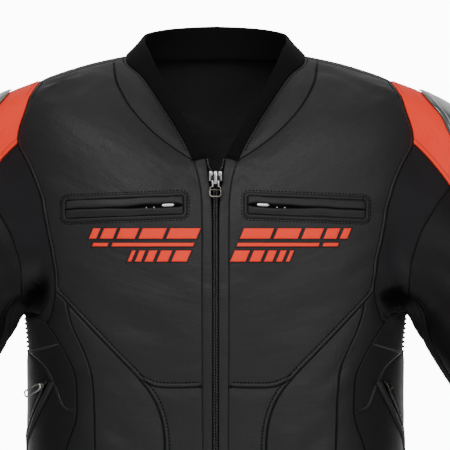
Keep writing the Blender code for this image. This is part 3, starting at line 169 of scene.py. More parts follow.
# Seams on the sleeve as turn round the arm and station along it.
sleeveSeams = {
    "red_front_a": [(60, 0.0), (60.8, 0.15), (61, 0.28), (61, 0.37)],
    "red_front_b": [(61, 0.37), (52, 0.62), (28, 0.88), (0, 0.97)],
    "red_back_a": [(300, 0.0), (299, 0.18), (299, 0.37)],
    "red_back_b": [(299, 0.37), (308, 0.62), (332, 0.88), (360, 0.97)],
    "gusset_front": [(61, 0.37), (78, 0.39), (92, 0.39), (104, 0.40), (117, 0.43), (128, 0.49), (138, 0.60)],
    "gusset_under": [(138, 0.60), (152, 0.90), (180, 1.15), (208, 0.95), (232, 0.62)],
    "gusset_back": [(232, 0.62), (255, 0.46), (278, 0.40), (299, 0.37)],
    "under_front": [(138, 0.60), (142, 0.86), (158, 1.17), (163, 1.45), (160, 2.50), (158, cuffStation)],
    "under_back": [(232, 0.62), (238, 1.20), (240, 2.50), (242, cuffStation)],
    "cuff_outer": [(-118, cuffStation), (-60, cuffStation), (0, cuffStation), (80, cuffStation),
                   (158, cuffStation)],
    "cuff_under": [(158, cuffStation), (200, cuffStation), (242, cuffStation)],
}

# Each panel runs along its seams in turn. "-" means the seam is followed backwards.
torsoPanels = {
    "chest": ["-placket_up", "leaf", "shoulder", "hole_red_front", "hole_front", "-chest_low_c",
              "-chest_low_b", "-chest_low_a"],
    "neck_leaf": ["collar_front", "leaf_end", "-leaf"],
    "placket": ["placket_top", "placket_up", "placket_low", "-hem_placket", "-placket_in"],
    "belly": ["chest_low_a", "belly", "-hem_belly", "-placket_low"],
    "side_front": ["chest_low_b", "princess", "-hem_side_front", "-belly"],
    "flank_lens": ["chest_low_c", "hole_lens", "third_a", "third_b", "third_c", "-hem_lens", "-princess"],
    "side_upper": ["hole_side", "rib_front", "-across", "-third_a"],
    "side_middle": ["across", "-pocket_top", "-third_b"],
    "side_lower": ["pocket_top", "rib_foot", "side_back", "-hem_side", "-third_c"],
    "back_side": ["hole_back_side", "back_side", "-hem_back_side", "-side_back", "-rib_back"],
}
yokeSeams = ["hole_yoke", "hole_red_back", "-shoulder", "-leaf_end"]
# name: thickness, material, seams with the turn shift in degrees
sleevePanels = {
    "shoulder_red": (cloth["leather"], "red_leather",
                     [("hole_red_back", -360), ("hole_red_front", 0), ("red_front_a", 0), ("red_front_b", 0),
                      ("-red_back_b", -360), ("-red_back_a", -360)]),
    "gusset": (cloth["stretch"], "stretch",
               [("hole_front", 0), ("hole_lens", 0), ("hole_side", 0), ("hole_ribs", 0),
                ("hole_back_side", 0), ("hole_back", 0), ("hole_yoke", 0), ("red_back_a", 0),
                ("-gusset_back", 0), ("-gusset_under", 0), ("-gusset_front", 0), ("-red_front_a", 0)]),
    "sleeve_outer": (cloth["leather"], "black_leather",
                     [("gusset_front", 0), ("under_front", 0), ("-cuff_outer", 0), ("-under_back", -360),
                      ("gusset_back", -360), ("red_back_b", -360), ("-red_front_b", 0)]),
    "sleeve_under": (cloth["stretch"], "stretch",
                     [("gusset_under", 0), ("under_back", 0), ("-cuff_under", 0), ("-under_front", 0)]),
}
# Half outline of the hard shoulder plate: turn, station
plateEdge = [(0, 0.095), (11, 0.101), (20, 0.116), (28, 0.143), (34, 0.187), (40, 0.245), (43, 0.36),
             (41, 0.48), (32, 0.62), (17, 0.71), (0, 0.74)]

# The inner, upper edge of the collar: torso angle of the seam below it, x, y, z
collarTop = [
    (12.6, 0.0115, -0.1041, -0.1093),
    (20.5, 0.0236, -0.0935, -0.0860),
    (33.5, 0.0388, -0.0790, -0.0590),
    (50.2, 0.0585, -0.0595, -0.0250),
    (60.0, 0.0690, -0.0450, -0.0040),
    (72.0, 0.0765, -0.0270, 0.0130),
    (84.0, 0.0820, -0.0060, 0.0240),
    (100.0, 0.0825, 0.0200, 0.0320),
    (130.0, 0.0636, 0.0535, 0.0405),
    (158.0, 0.0298, 0.0728, 0.0450),
    (180.0, 0.0000, 0.0790, 0.0465),
]

# Seams whose number of steps is fixed, so that the ribs line up with their neighbours.
fixedSteps = {"hole_ribs": 36, "rib_foot": 36}


class Curve:
    def __init__(self, x, y):
        self.x = np.array(x, float)
        self.y = np.array(y, float)
        h = np.diff(self.x)
        d = np.diff(self.y) / h
        m = np.zeros(len(self.x))
        for i in range(1, len(self.x) - 1):
            if d[i - 1] * d[i] > 0:
                w1 = 2 * h[i] + h[i - 1]
                w2 = h[i] + 2 * h[i - 1]
                m[i] = (w1 + w2) / (w1 / d[i - 1] + w2 / d[i])
        m[0] = d[0]
        m[-1] = d[-1]
        self.m = m

    def __call__(self, q):
        q = np.asarray(q, float)
        i = np.clip(np.searchsorted(self.x, q) - 1, 0, len(self.x) - 2)
        h = self.x[i + 1] - self.x[i]
        s = (q - self.x[i]) / h
        rise = (2 * s**3 - 3 * s**2 + 1) * self.y[i] + (3 * s**2 - 2 * s**3) * self.y[i + 1]
        return rise + h * ((s**3 - 2 * s**2 + s) * self.m[i] + (s**3 - s**2) * self.m[i + 1])


def columns(rows, first, last):
    keys = [row[first - 1] for row in rows]
    return [Curve(keys, [row[k] for row in rows]) for k in range(first, last)]


def unit(v):
    return v / np.maximum(np.linalg.norm(v, axis=-1, keepdims=True), 1e-12)


def closedBlur(values, rounds):
    v = values[:-1]
    for _ in range(rounds):
        v = 0.25 * np.roll(v, 1, 0) + 0.5 * v + 0.25 * np.roll(v, -1, 0)
    return np.concatenate([v, v[:1]], 0)


lastRing = len(torsoRings) - 1
ringSteps = np.arange(lastRing + 1, dtype=float)
sideX, sideZ, frontY, frontZ, backY, backZ, squareness = [
    Curve(ringSteps, [row[k] for row in torsoRings]) for k in range(1, 8)]


def torso(phi, t):
    phi, t = np.broadcast_arrays(np.asarray(phi, float), np.asarray(t, float))
    s = np.sin(phi)
    c = np.cos(phi)
    depth = np.where(c >= 0, frontY(t), backY(t))
    p = squareness(t)
    r = (np.abs(s / sideX(t)) ** p + np.abs(c / depth) ** p) ** (-1 / p)
    w = c * c
    z = sideZ(t) * (1 - w) + np.where(c >= 0, frontZ(t), backZ(t)) * w
    return np.stack([r * s, -r * c, z], -1)


def ringAt(phi, z):
    phi, z = np.broadcast_arrays(np.asarray(phi, float), np.asarray(z, float))
    low = np.zeros(phi.shape)
    high = np.full(phi.shape, float(lastRing))
    for _ in range(14):
        mid = (low + high) / 2
        above = torso(phi, mid)[..., 2] > z
        low = np.where(above, mid, low)
        high = np.where(above, high, mid)
    zLow, zHigh = torso(phi, low)[..., 2], torso(phi, high)[..., 2]
    for _ in range(5):
        share = np.clip((zLow - z) / np.maximum(zLow - zHigh, 1e-12), 0.0, 1.0)
        mid = low + (high - low) * np.clip(share, 0.02, 0.98)
        zMid = torso(phi, mid)[..., 2]
        above = zMid > z
        low, zLow = np.where(above, mid, low), np.where(above, zMid, zLow)
        high, zHigh = np.where(above, high, mid), np.where(above, zHigh, zMid)
    return low + (high - low) * np.clip((zLow - z) / np.maximum(zLow - zHigh, 1e-12), 0.0, 1.0)


def torsoNormal(phi, t):
    h = 1e-4
    du = torso(phi + h, t) - torso(phi - h, t)
    dt = torso(phi, np.minimum(t + h, lastRing)) - torso(phi, np.maximum(t - h, 0))
    return -unit(np.cross(du, dt))


armX, armY, armZ, armAcross, armDeep = columns(armRows, 1, 6)
holeAngle, holeZ, holePull, armPull = columns(armholeRows, 1, 5)


def tube(turn, s):
    centre = np.stack([armX(s), armY(s), armZ(s)], -1)
    ahead = np.stack([armX(s + 0.02), armY(s + 0.02), armZ(s + 0.02)], -1)
    behind = np.stack([armX(s - 0.02), armY(s - 0.02), armZ(s - 0.02)], -1)
    axis = unit(ahead - behind)
    out = np.array([0.866, 0.0, 0.5])
    across = unit(out - axis * (axis @ out)[..., None])
    front = np.cross(across, axis)
    front = np.where(front[..., 1:2] > 0, -front, front)
    ring = across * (armAcross(s) * np.cos(turn))[..., None] + front * (armDeep(s) * np.sin(turn))[..., None]
    return centre + ring, axis


turnSteps = np.linspace(0, 360, 721)
holePhi = closedBlur(np.radians(holeAngle(turnSteps)), 24)
holeT = ringAt(holePhi, closedBlur(holeZ(turnSteps), 24))
holeP = torso(holePhi, holeT)
holeN = torsoNormal(holePhi, holeT)
holeAlong = holeP[(np.arange(721) + 1) % 720] - holeP[(np.arange(721) - 1) % 720]
holeIn = unit(np.cross(holeN, unit(closedBlur(holeAlong, 10))))
topShare = np.exp(-((np.minimum(turnSteps, 360 - turnSteps) / 55.0) ** 2))[:, None]
holeChord = unit(tube(np.radians(turnSteps), np.ones(721))[0] - holeP)
holeLead = unit((1 - topShare) * (holeIn + 0.7 * holeChord) + topShare * np.array([1.4, 0.0, -0.50]))
holeLead = unit(closedBlur(holeLead, 10)) * closedBlur(holePull(turnSteps), 20)[:, None]
armLead = closedBlur(armPull(turnSteps), 20)


def pick(table, turn):
    place = np.mod(np.degrees(turn), 360.0) * 2
    i = np.floor(place).astype(int) % 720
    f = place - np.floor(place)
    if table.ndim > 1:
        f = f[..., None]
    return table[i] * (1 - f) + table[i + 1] * f


def sleeve(turn, s):
    turn, s = np.broadcast_arrays(np.asarray(turn, float), np.asarray(s, float))
    ring, axis = tube(turn, np.maximum(s, 1.0))
    u = np.clip(s, 0, 1)[..., None]
    start = pick(holeP, turn)
    leadIn = pick(holeLead, turn)
    leadOut = axis * pick(armLead, turn)[..., None]
    cap = (2 * u**3 - 3 * u**2 + 1) * start + (3 * u**2 - 2 * u**3) * ring
    cap = cap + (u**3 - 2 * u**2 + u) * leadIn + (u**3 - u**2) * leadOut
    return np.where(s[..., None] < 1.0, cap, ring)


def sleeveNormal(turn, s):
    du = sleeve(turn + 0.02, s) - sleeve(turn - 0.02, s)
    ds = sleeve(turn, s + 1e-3) - sleeve(turn, np.maximum(s - 1e-3, 0))
    return unit(np.cross(du, ds))


meanRise = np.mean([np.linalg.norm(np.diff(torso(a, ringSteps), axis=0), axis=1)
                     for a in np.radians([5, 60, 90, 120, 175])], axis=0)
ringDrop = Curve(ringSteps, np.concatenate([[0], np.cumsum(meanRise)]))
dropTable = ringDrop(np.linspace(0, lastRing, 2001))


class Torso:
    point = staticmethod(torso)
    normal = staticmethod(torsoNormal)

    @staticmethod
    def flat(a, b):
        return np.stack([a * bodyRadius, -ringDrop(b)], -1)

    @staticmethod
    def back(flat):
        return flat[..., 0] / bodyRadius, np.interp(-flat[..., 1], dropTable, np.linspace(0, lastRing, 2001))


class Sleeve:
    point = staticmethod(sleeve)
    normal = staticmethod(sleeveNormal)

    @staticmethod
    def flat(a, b):
        return np.stack([-a * armRadius, -b * armStation], -1)

    @staticmethod
    def back(flat):
        return -flat[..., 0] / armRadius, -flat[..., 1] / armStation


# The worn folds: start x, y, z, end x, y, z, half width, height. A minus height is a trough.
# Mirrored folds lie on both sides. The last rows lie on one side only, with their own x.
foldsBoth = [
    (0.193, -0.091, -0.262, 0.212, -0.064, -0.274, 0.012, -0.0180),
    (0.197, -0.085, -0.235, 0.232, -0.066, -0.238, 0.010, 0.0030),
    (0.125, -0.058, -0.020, 0.190, -0.052, -0.040, 0.012, 0.0025),
    (0.330, -0.078, -0.330, 0.372, -0.060, -0.345, 0.012, -0.0060),
    (0.300, -0.055, -0.365, 0.345, -0.085, -0.385, 0.012, -0.0050),
    (0.188, 0.085, -0.262, 0.225, 0.060, -0.258, 0.012, -0.0060),
    (0.120, 0.130, -0.150, 0.165, 0.112, -0.240, 0.020, 0.0040),
    (0.060, 0.110, -0.470, 0.150, 0.095, -0.450, 0.016, -0.0040),
]
creases = [
    # beside the collar leaf and along the shoulder
    (0.100, -0.070, -0.040, 0.128, -0.085, -0.075, 0.006, -0.0012),
    (0.112, -0.060, -0.028, 0.150, -0.085, -0.060, 0.007, 0.0012),
    (0.118, -0.045, -0.012, 0.176, -0.070, -0.040, 0.006, -0.0012),
    (-0.104, -0.072, -0.052, -0.122, -0.088, -0.092, 0.006, -0.0010),
    (-0.135, -0.060, -0.020, -0.182, -0.072, -0.048, 0.007, -0.0013),
    # under the end of the collar leaf
    (0.026, -0.115, -0.124, 0.050, -0.118, -0.138, 0.004, -0.0009),
    (0.030, -0.115, -0.116, 0.062, -0.112, -0.122, 0.004, -0.0008),
    (-0.024, -0.115, -0.120, -0.048, -0.118, -0.133, 0.004, -0.0010),
    (-0.026, -0.118, -0.130, -0.056, -0.122, -0.147, 0.005, -0.0008),
    # from the armhole across the chest
    (0.205, -0.085, -0.160, 0.172, -0.105, -0.170, 0.007, -0.0009),
    (0.196, -0.095, -0.215, 0.150, -0.120, -0.236, 0.008, -0.0012),
    (0.192, -0.095, -0.238, 0.155, -0.120, -0.262, 0.007, -0.0010),
    (-0.205, -0.085, -0.150, -0.176, -0.105, -0.158, 0.007, -0.0009),
    (-0.190, -0.098, -0.228, -0.150, -0.122, -0.240, 0.007, -0.0013),
    # the deep hollow in front of each armpit, and the folds that run into it
    (-0.186, -0.094, -0.240, -0.203, -0.080, -0.262, 0.008, -0.0046),
    (0.194, -0.092, -0.224, 0.206, -0.080, -0.254, 0.006, -0.0036),
    (0.182, -0.098, -0.252, 0.200, -0.088, -0.282, 0.006, 0.0014),
    (-0.176, -0.102, -0.252, -0.190, -0.092, -0.284, 0.006, 0.0015),
    (0.186, -0.094, -0.2530, 0.212, -0.078, -0.2500, 0.0045, 0.0022),
    (0.188, -0.088, -0.2960, 0.212, -0.066, -0.2880, 0.0045, 0.0024),
    (-0.186, -0.090, -0.2980, -0.208, -0.068, -0.2840, 0.0045, 0.0022),
    # a ridge and a trough from the neck over the shoulder
    (-0.160, -0.058, -0.0225, -0.196, -0.058, -0.0450, 0.0055, 0.0016),
    (-0.156, -0.048, -0.0130, -0.190, -0.046, -0.0300, 0.0055, -0.0013),
    (0.178, -0.062, -0.0300, 0.198, -0.060, -0.0400, 0.0050, 0.0012),
    # lower chest and belly
    (0.070, -0.135, -0.285, 0.125, -0.128, -0.262, 0.014, -0.0010),
    (-0.060, -0.137, -0.300, -0.128, -0.128, -0.272, 0.013, -0.0011),
    (-0.016, -0.138, -0.332, -0.046, -0.136, -0.338, 0.004, -0.0008),
    (0.088, -0.128, -0.440, 0.120, -0.118, -0.410, 0.010, -0.0012),
    (-0.090, -0.128, -0.420, -0.128, -0.116, -0.395, 0.010, -0.0013),
    (-0.098, -0.126, -0.470, -0.140, -0.110, -0.455, 0.011, -0.0011),
    (0.128, -0.112, -0.345, 0.150, -0.098, -0.318, 0.006, -0.0012),
    (-0.150, -0.100, -0.332, -0.166, -0.090, -0.305, 0.006, 0.0014),
    (0.106, -0.124, -0.508, 0.148, -0.104, -0.480, 0.010, -0.0011),
    (-0.112, -0.122, -0.540, -0.150, -0.102, -0.512, 0.010, -0.0011),
    (0.118, -0.118, -0.372, 0.142, -0.106, -0.352, 0.008, 0.0010),
    (-0.108, -0.122, -0.366, -0.140, -0.108, -0.350, 0.008, 0.0010),
    # inner front of the arms
    (0.236, -0.078, -0.262, 0.270, -0.082, -0.300, 0.009, -0.0030),
    (0.214, -0.070, -0.286, 0.248, -0.075, -0.318, 0.007, 0.0022),
    (0.252, -0.078, -0.228, 0.296, -0.085, -0.262, 0.010, -0.0018),
    (-0.232, -0.078, -0.258, -0.268, -0.082, -0.305, 0.010, -0.0032),
    (-0.246, -0.080, -0.222, -0.292, -0.085, -0.240, 0.010, -0.0018),
    (-0.225, -0.070, -0.292, -0.256, -0.075, -0.322, 0.007, 0.0020),
    (0.275, -0.088, -0.205, 0.318, -0.080, -0.212, 0.012, -0.0015),
    (-0.280, -0.088, -0.190, -0.320, -0.078, -0.205, 0.012, -0.0015),
    # forearms
    (0.352, -0.108, -0.420, 0.392, -0.100, -0.445, 0.010, -0.0024),
    (0.372, -0.125, -0.505, 0.418, -0.115, -0.520, 0.010, -0.0018),
    (-0.348, -0.105, -0.412, -0.396, -0.098, -0.432, 0.010, -0.0022),
    (-0.378, -0.120, -0.495, -0.420, -0.116, -0.515, 0.010, -0.0018),
    # back of the arms and of the body
    (0.300, 0.078, -0.300, 0.350, 0.058, -0.330, 0.011, -0.0026),
    (-0.302, 0.078, -0.290, -0.352, 0.056, -0.325, 0.011, -0.0028),
    (0.330, 0.050, -0.400, 0.392, 0.018, -0.410, 0.012, -0.0028),
    (-0.332, 0.050, -0.392, -0.390, 0.018, -0.412, 0.012, -0.0026),
    (0.030, 0.128, -0.300, 0.110, 0.120, -0.330, 0.016, -0.0016),
    (-0.020, 0.128, -0.340, -0.120, 0.116, -0.380, 0.016, -0.0018),
    (0.010, 0.110, -0.520, 0.090, 0.108, -0.505, 0.013, -0.0016),
    (-0.040, 0.112, -0.560, -0.130, 0.100, -0.540, 0.013, -0.0016),
    # sides
    (0.196, -0.020, -0.420, 0.196, 0.050, -0.440, 0.012, -0.0018),
    (-0.196, -0.015, -0.430, -0.196, 0.045, -0.412, 0.012, -0.0018),
    (0.200, -0.040, -0.540, 0.200, 0.040, -0.520, 0.014, -0.0016),
    (-0.200, -0.040, -0.520, -0.200, 0.040, -0.540, 0.014, -0.0016),
]


def foldRise(q):
    rise = np.zeros(q.shape[:-1])
    mirrored = np.concatenate([np.abs(q[..., :1]), q[..., 1:]], -1)
    for rows, place in ((foldsBoth, mirrored), (creases, q)):
        for row in rows:
            a, b = np.array(row[0:3]), np.array(row[3:6])
            along = np.clip(((place - a) @ (b - a)) / ((b - a) @ (b - a)), 0, 1)
            gap = place - a - along[..., None] * (b - a)
            away = np.linalg.norm(gap, axis=-1)
            ends = 0.35 + 0.65 * np.sin(math.pi * (0.12 + 0.76 * along))
            # creases hold a small counter swell beside the trough
            core = np.exp(-((away / row[6]) ** 2))
            side = 0.35 * np.exp(-(((away - 2.0 * row[6]) / row[6]) ** 2)) if rows is creases else 0.0
            high = row[7] * (cloth["creases"] if rows is creases else 1.0)
            rise = rise + high * ends * (core - side)
    return rise


def folded(p, n):
    return p + n * foldRise(p)[..., None]


def through(rows, count):
    pts = np.array(rows, float)
    scale = np.array([0.0032, 1.0])
    step = np.linalg.norm(np.diff(pts, axis=0) * scale, axis=1)
    q = np.concatenate([[0], np.cumsum(np.maximum(step, 1e-5))])
    if len(pts) == 2:
        w = np.linspace(0, 1, count + 1)[:, None]
        return pts[0] * (1 - w) + pts[1] * w
    m = np.zeros(pts.shape)
    m[1:-1] = (pts[2:] - pts[:-2]) / (q[2:] - q[:-2])[:, None]
    m[0] = 2 * (pts[1] - pts[0]) / q[1] - m[1]
    m[-1] = 2 * (pts[-1] - pts[-2]) / (q[-1] - q[-2]) - m[-2]
    w = np.linspace(0, q[-1], count + 1)
    i = np.clip(np.searchsorted(q, w) - 1, 0, len(q) - 2)
    h = (q[i + 1] - q[i])[:, None]
    s = (w[:, None] - q[i][:, None]) / h
    line = (2 * s**3 - 3 * s**2 + 1) * pts[i] + (3 * s**2 - 2 * s**3) * pts[i + 1]
    line = line + h * ((s**3 - 2 * s**2 + s) * m[i] + (s**3 - s**2) * m[i + 1])
    line[0] = pts[0]
    line[-1] = pts[-1]
    return line


class Seam:
    def __init__(self, p, n, torsoAb=None, sleeveAb=None):
        self.p = p
        self.n = n
        self.torsoAb = torsoAb
        self.sleeveAb = sleeveAb

    def turned(self):
        return Seam(self.p[::-1], self.n[::-1],
                    None if self.torsoAb is None else self.torsoAb[::-1],
                    None if self.sleeveAb is None else self.sleeveAb[::-1])

    def mirrored(self):
        flip = np.array([-1.0, 1.0, 1.0])
        ab = self.torsoAb * np.array([-1.0, 1.0]) + np.array([2 * math.pi, 0.0])
        return Seam(self.p * flip, self.n * flip, ab)


def stepsFor(p, spacing):
    return max(1, int(round(np.linalg.norm(np.diff(p, axis=0), axis=1).sum() / spacing)))


def torsoSeam(rows, fixed):
    place = []
    for a, b in rows:
        if a == "hole":
            phi = float(pick(holePhi, np.radians(float(b))))
            place.append((math.degrees(phi), float(pick(holeP, np.radians(float(b)))[2])))
        else:
            place.append((a, b))
    line = through(place, 60)
    phi = np.radians(line[:, 0])
    count = fixed or stepsFor(torso(phi, ringAt(phi, line[:, 1])), cloth["seamStep"])
    line = through(place, count)
    phi = np.radians(line[:, 0])
    t = ringAt(phi, line[:, 1])
    for end, row in ((0, rows[0]), (-1, rows[-1])):
        if row[0] == "hole":
            t[end] = pick(holeT, np.radians(float(row[1])))
            phi[end] = pick(holePhi, np.radians(float(row[1])))
    n = torsoNormal(phi, t)
    p = torso(phi, t)
    for end, row in ((0, rows[0]), (-1, rows[-1])):
        if row[0] == "hole":
            p[end], n[end] = holePoint(np.radians(float(row[1])))
    return Seam(p, n, np.stack([phi, t], -1))


def holePoint(turn):
    turn = np.asarray(turn, float)
    n = unit(pick(holeN, turn) + sleeveNormal(turn, np.zeros(turn.shape)))
    return pick(holeP, turn), n


def holeSeam(start, stop, fixed):
    dense = np.radians(np.linspace(start, stop, 60))
    count = fixed or stepsFor(pick(holeP, dense), cloth["seamStep"])
    turn = np.radians(np.linspace(start, stop, count + 1))
    p, n = holePoint(turn)
    ab = np.stack([pick(holePhi, turn), pick(holeT, turn)], -1)
    return Seam(p, n, ab, np.stack([turn, np.zeros(len(turn))], -1))


def sleeveSeam(rows):
    line = through([(a, b * armStation) for a, b in rows], 60)
    count = stepsFor(sleeve(np.radians(line[:, 0]), line[:, 1] / armStation), cloth["seamStep"])
    line = through([(a, b * armStation) for a, b in rows], count)
    turn = np.radians(line[:, 0])
    s = np.maximum(line[:, 1] / armStation, 0.0)
    n = sleeveNormal(turn, s)
    p = sleeve(turn, s)
    for end in (0, -1):
        if s[end] == 0.0:
            p[end], n[end] = holePoint(turn[end])
    return Seam(p, n, None, np.stack([turn, s], -1))


def inside(points, loop):
    x = points[:, 0][:, None]
    y = points[:, 1][:, None]
    x0, y0 = loop[:, 0], loop[:, 1]
    x1, y1 = np.roll(x0, -1), np.roll(y0, -1)
    crosses = (y0 > y) != (y1 > y)
    dy = np.where(np.abs(y1 - y0) < 1e-15, 1e-15, y1 - y0)
    hit = x < (x1 - x0) * (y - y0) / dy + x0
    return (crosses & hit).sum(1) % 2 == 1


def edgeDistance(points, loop):
    a = loop
    d = np.roll(loop, -1, axis=0) - loop
    length = np.maximum((d * d).sum(1), 1e-18)
    best = np.full(len(points), 1e9)
    for i in range(len(a)):
        s = np.clip(((points - a[i]) @ d[i]) / length[i], 0, 1)
        best = np.minimum(best, np.linalg.norm(points - a[i] - s[:, None] * d[i], axis=1))
    return best


def pulledIn(p, n, amount):
    before = unit(p - np.roll(p, 1, axis=0))
    after = unit(np.roll(p, -1, axis=0) - p)
    n0 = unit(np.cross(n, before))
    n1 = unit(np.cross(n, after))
    bend = np.maximum(1 + (n0 * n1).sum(1), 0.08)[:, None]
    return p + (n0 + n1) / bend * amount


def mirrorX(points):
    return points * np.array([-1.0, 1.0, 1.0])


def joinedLoop(parts, chartKey, shifts=None):
    ab = []
    p = []
    n = []
    for k, seam in enumerate(parts):
        place = getattr(seam, chartKey)
        if shifts is not None:
            place = place + np.array([math.radians(shifts[k]), 0.0])
        ab.append(place[:-1])
        p.append(seam.p[:-1])
        n.append(seam.n[:-1])
    return np.concatenate(ab), np.concatenate(p), np.concatenate(n)


def find(seams, name):
    return seams[name[1:]].turned() if name.startswith("-") else seams[name]


def signedVolume(verts, faces):
    total = 0.0
    for f in faces:
        for k in range(1, len(f) - 1):
            total += np.dot(verts[f[0]], np.cross(verts[f[k]], verts[f[k + 1]]))
    return total


def frontPlace(x, z):
    x, z = np.broadcast_arrays(np.asarray(x, float), np.asarray(z, float))
    wide = np.abs(x)
    phi = np.arcsin(np.clip(wide / 0.2, 0.0, 0.95))
    t = ringAt(phi, z)
    h = 1e-5
    for _ in range(9):
        p = torso(phi, t)
        dPhi, dT = (torso(phi + h, t) - p) / h, (torso(phi, t + h) - p) / h
        missX, missZ = wide - p[..., 0], z - p[..., 2]
        scale = dPhi[..., 0] * dT[..., 2] - dT[..., 0] * dPhi[..., 2]
        phi = np.clip(phi + (missX * dT[..., 2] - dT[..., 0] * missZ) / scale, 0.0, math.radians(84))
        t = np.clip(t + (dPhi[..., 0] * missZ - missX * dPhi[..., 2]) / scale, 0.0, lastRing)
    return phi * np.where(x < 0, -1.0, 1.0), t


def onFront(x, z, lift):
    phi, t = frontPlace(x, z)
    n = torsoNormal(phi, t)
    return folded(torso(phi, t), n) + n * np.asarray(lift)[..., None]


def segmentDistance(points, line):
    best = np.full(len(points), 1e9)
    for a, b in zip(line[:-1], line[1:]):
        d = b - a
        s = np.clip(((points - a) @ d) / max(d @ d, 1e-18), 0, 1)
        best = np.minimum(best, np.linalg.norm(points - a - s[:, None] * d, axis=1))
    return best


def cutFlat(loop, spacing, row):
    # the outline comes first, then a close row inside it, then an even grid
    low, high = loop.min(0), loop.max(0)
    grid = []
    for j in range(int((high[1] - low[1]) / (spacing * 0.866)) + 2):
        shift = 0.5 * spacing if j % 2 else 0.0
        for i in range(int((high[0] - low[0]) / spacing) + 2):
            grid.append((low[0] + 0.31 * spacing + shift + i * spacing,
                         low[1] + 0.37 * spacing + j * spacing * 0.866))
    grid = np.array(grid)
    grid = grid[inside(grid, loop)]
    if len(grid):
        grid = grid[edgeDistance(grid, loop) > row + 0.62 * spacing]
    ahead = unit(np.roll(loop, -1, axis=0) - np.roll(loop, 1, axis=0))
    near = loop + np.stack([-ahead[:, 1], ahead[:, 0]], -1) * row
    near = near[inside(near, loop)]
    near = near[edgeDistance(near, loop) > 0.8 * row]
    every = np.concatenate([loop, near, grid.reshape(-1, 2)])
    verts = [Vector((float(p[0]), float(p[1]))) for p in every]
    made = delaunay_2d_cdt(verts, [], [list(range(len(loop)))], 1, 1e-7)
    origin = [o[0] if o else -1 for o in made[3]]
    faces = []
    for f in made[2]:
        ids = [origin[i] for i in f]
        a, b, c = (every[i] for i in ids)
        turn = (b[0] - a[0]) * (c[1] - a[1]) - (b[1] - a[1]) * (c[0] - a[0])
        faces.append(ids if turn > 0 else ids[::-1])
    return every, faces


def shellFaces(faces, rim, size, flipped):
    # outer and inner faces of a cut shape, and the wall along its outline
    face = [f[::-1] for f in faces] if flipped else faces
    ring = list(range(rim))[::-1 if flipped else 1]
    walls = [[b, a, a + size, b + size] for a, b in zip(ring, ring[1:] + ring[:1])]
    return [list(f) for f in face] + [[i + size for i in reversed(f)] for f in face] + walls


class Value:
    # a socket that takes part in ordinary sums
    def __init__(self, finish, socket):
        self.finish = finish
        self.socket = socket

    def sum(self, operation, other=None, first=False):
        values = {1 if first else 0: self}
        if other is not None:
            values[0 if first else 1] = other
        return self.finish.node("ShaderNodeMath", {"operation": operation}, values)

    def __add__(self, other):
        return self.sum("ADD", other)

    __radd__ = __add__

    def __sub__(self, other):
        return self.sum("SUBTRACT", other)

    def __rsub__(self, other):
        return self.sum("SUBTRACT", other, True)

    def __mul__(self, other):
        return self.sum("MULTIPLY", other)

    __rmul__ = __mul__

    def __truediv__(self, other):
        return self.sum("DIVIDE", other)

    def __rtruediv__(self, other):
        return self.sum("DIVIDE", other, True)

    def __neg__(self):
        return self.sum("MULTIPLY", -1.0)

    def hill(self, centre, width):
        # a bell of height one
        away = (self - centre) / width
        return (-(away * away)).sum("EXPONENT")

    def clamped(self):
        return self.sum("MAXIMUM", 0.0).sum("MINIMUM", 1.0)


class Finish:
    def __init__(self, name):
        self.material = bpy.data.materials.new(name)
        self.material.use_nodes = True
        self.tree = self.material.node_tree
        self.shader = self.tree.nodes["Principled BSDF"]

    def node(self, kind, settings=None, values=None, out=0):
        made = self.tree.nodes.new(kind)
        for key, setting in (settings or {}).items():
            if key == "stops":
                for spot, (place, colour) in zip(made.color_ramp.elements, setting):
                    spot.position = place
                    spot.color = colour
            else:
                setattr(made, key, setting)
        for key, value in (values or {}).items():
            if isinstance(value, Value):
                self.tree.links.new(value.socket, made.inputs[key])
            else:
                made.inputs[key].default_value = value
        return Value(self, made.outputs[out])

    def set(self, **values):
        for key, value in values.items():
            socket = self.shader.inputs[key.replace("_", " ")]
            if isinstance(value, Value):
                self.tree.links.new(value.socket, socket)
            else:
                socket.default_value = value
        return self

    def here(self):
        return self.node("ShaderNodeTexCoord", out=3)

    def cloth(self):
        return self.node("ShaderNodeUVMap", {"uv_map": "cut"})

    def stretched(self, place, scale):
        return self.node("ShaderNodeMapping", {}, {0: place, 3: scale})

    def noise(self, place, scale, detail=2.0, rough=0.5):
        return self.node("ShaderNodeTexNoise", {},
                         {"Vector": place, "Scale": scale, "Detail": detail, "Roughness": rough})

    def cells(self, place, scale, feature="F1"):
        return self.node("ShaderNodeTexVoronoi", {"feature": feature}, {"Vector": place, "Scale": scale})

    def wave(self, place, scale, axis="X", distortion=0.0):
        return self.node("ShaderNodeTexWave", {"bands_direction": axis},
                         {"Vector": place, "Scale": scale, "Distortion": distortion}, out=1)

    def measure(self, name):
        return self.node("ShaderNodeAttribute", {"attribute_name": name}, out=2)

    def blend(self, amount, first, second):
        return self.node("ShaderNodeMix", {"data_type": "RGBA"}, {0: amount, 6: first, 7: second}, out=2)

    def relief(self, height):
        # height in millimetres
        return self.node("ShaderNodeBump", {}, {"Strength": 1.0, "Distance": 0.001, "Height": height})


def colour(*parts):
    return (*parts, 1.0)


def scaled(base, share):
    return tuple(c * share for c in base)


def shaded(base, share, blue=None):
    return colour(*(min(c * k, 1.0) for c, k in zip(base, (share, share, blue or share))))


# Colours and scales of the finishes. Relief is in millimetres.
finishSizes = {"leather": (0.0140, 0.0140, 0.0149), "red": (1.0, 0.041, 0.017),
               "stretch": (0.0134, 0.0125, 0.0137),
               "knit": (0.0026, 0.0026, 0.0029), "grain": 520.0, "grainHeight": 0.085, "rollHeight": 1.0,
               "creaseHeight": 1.1}
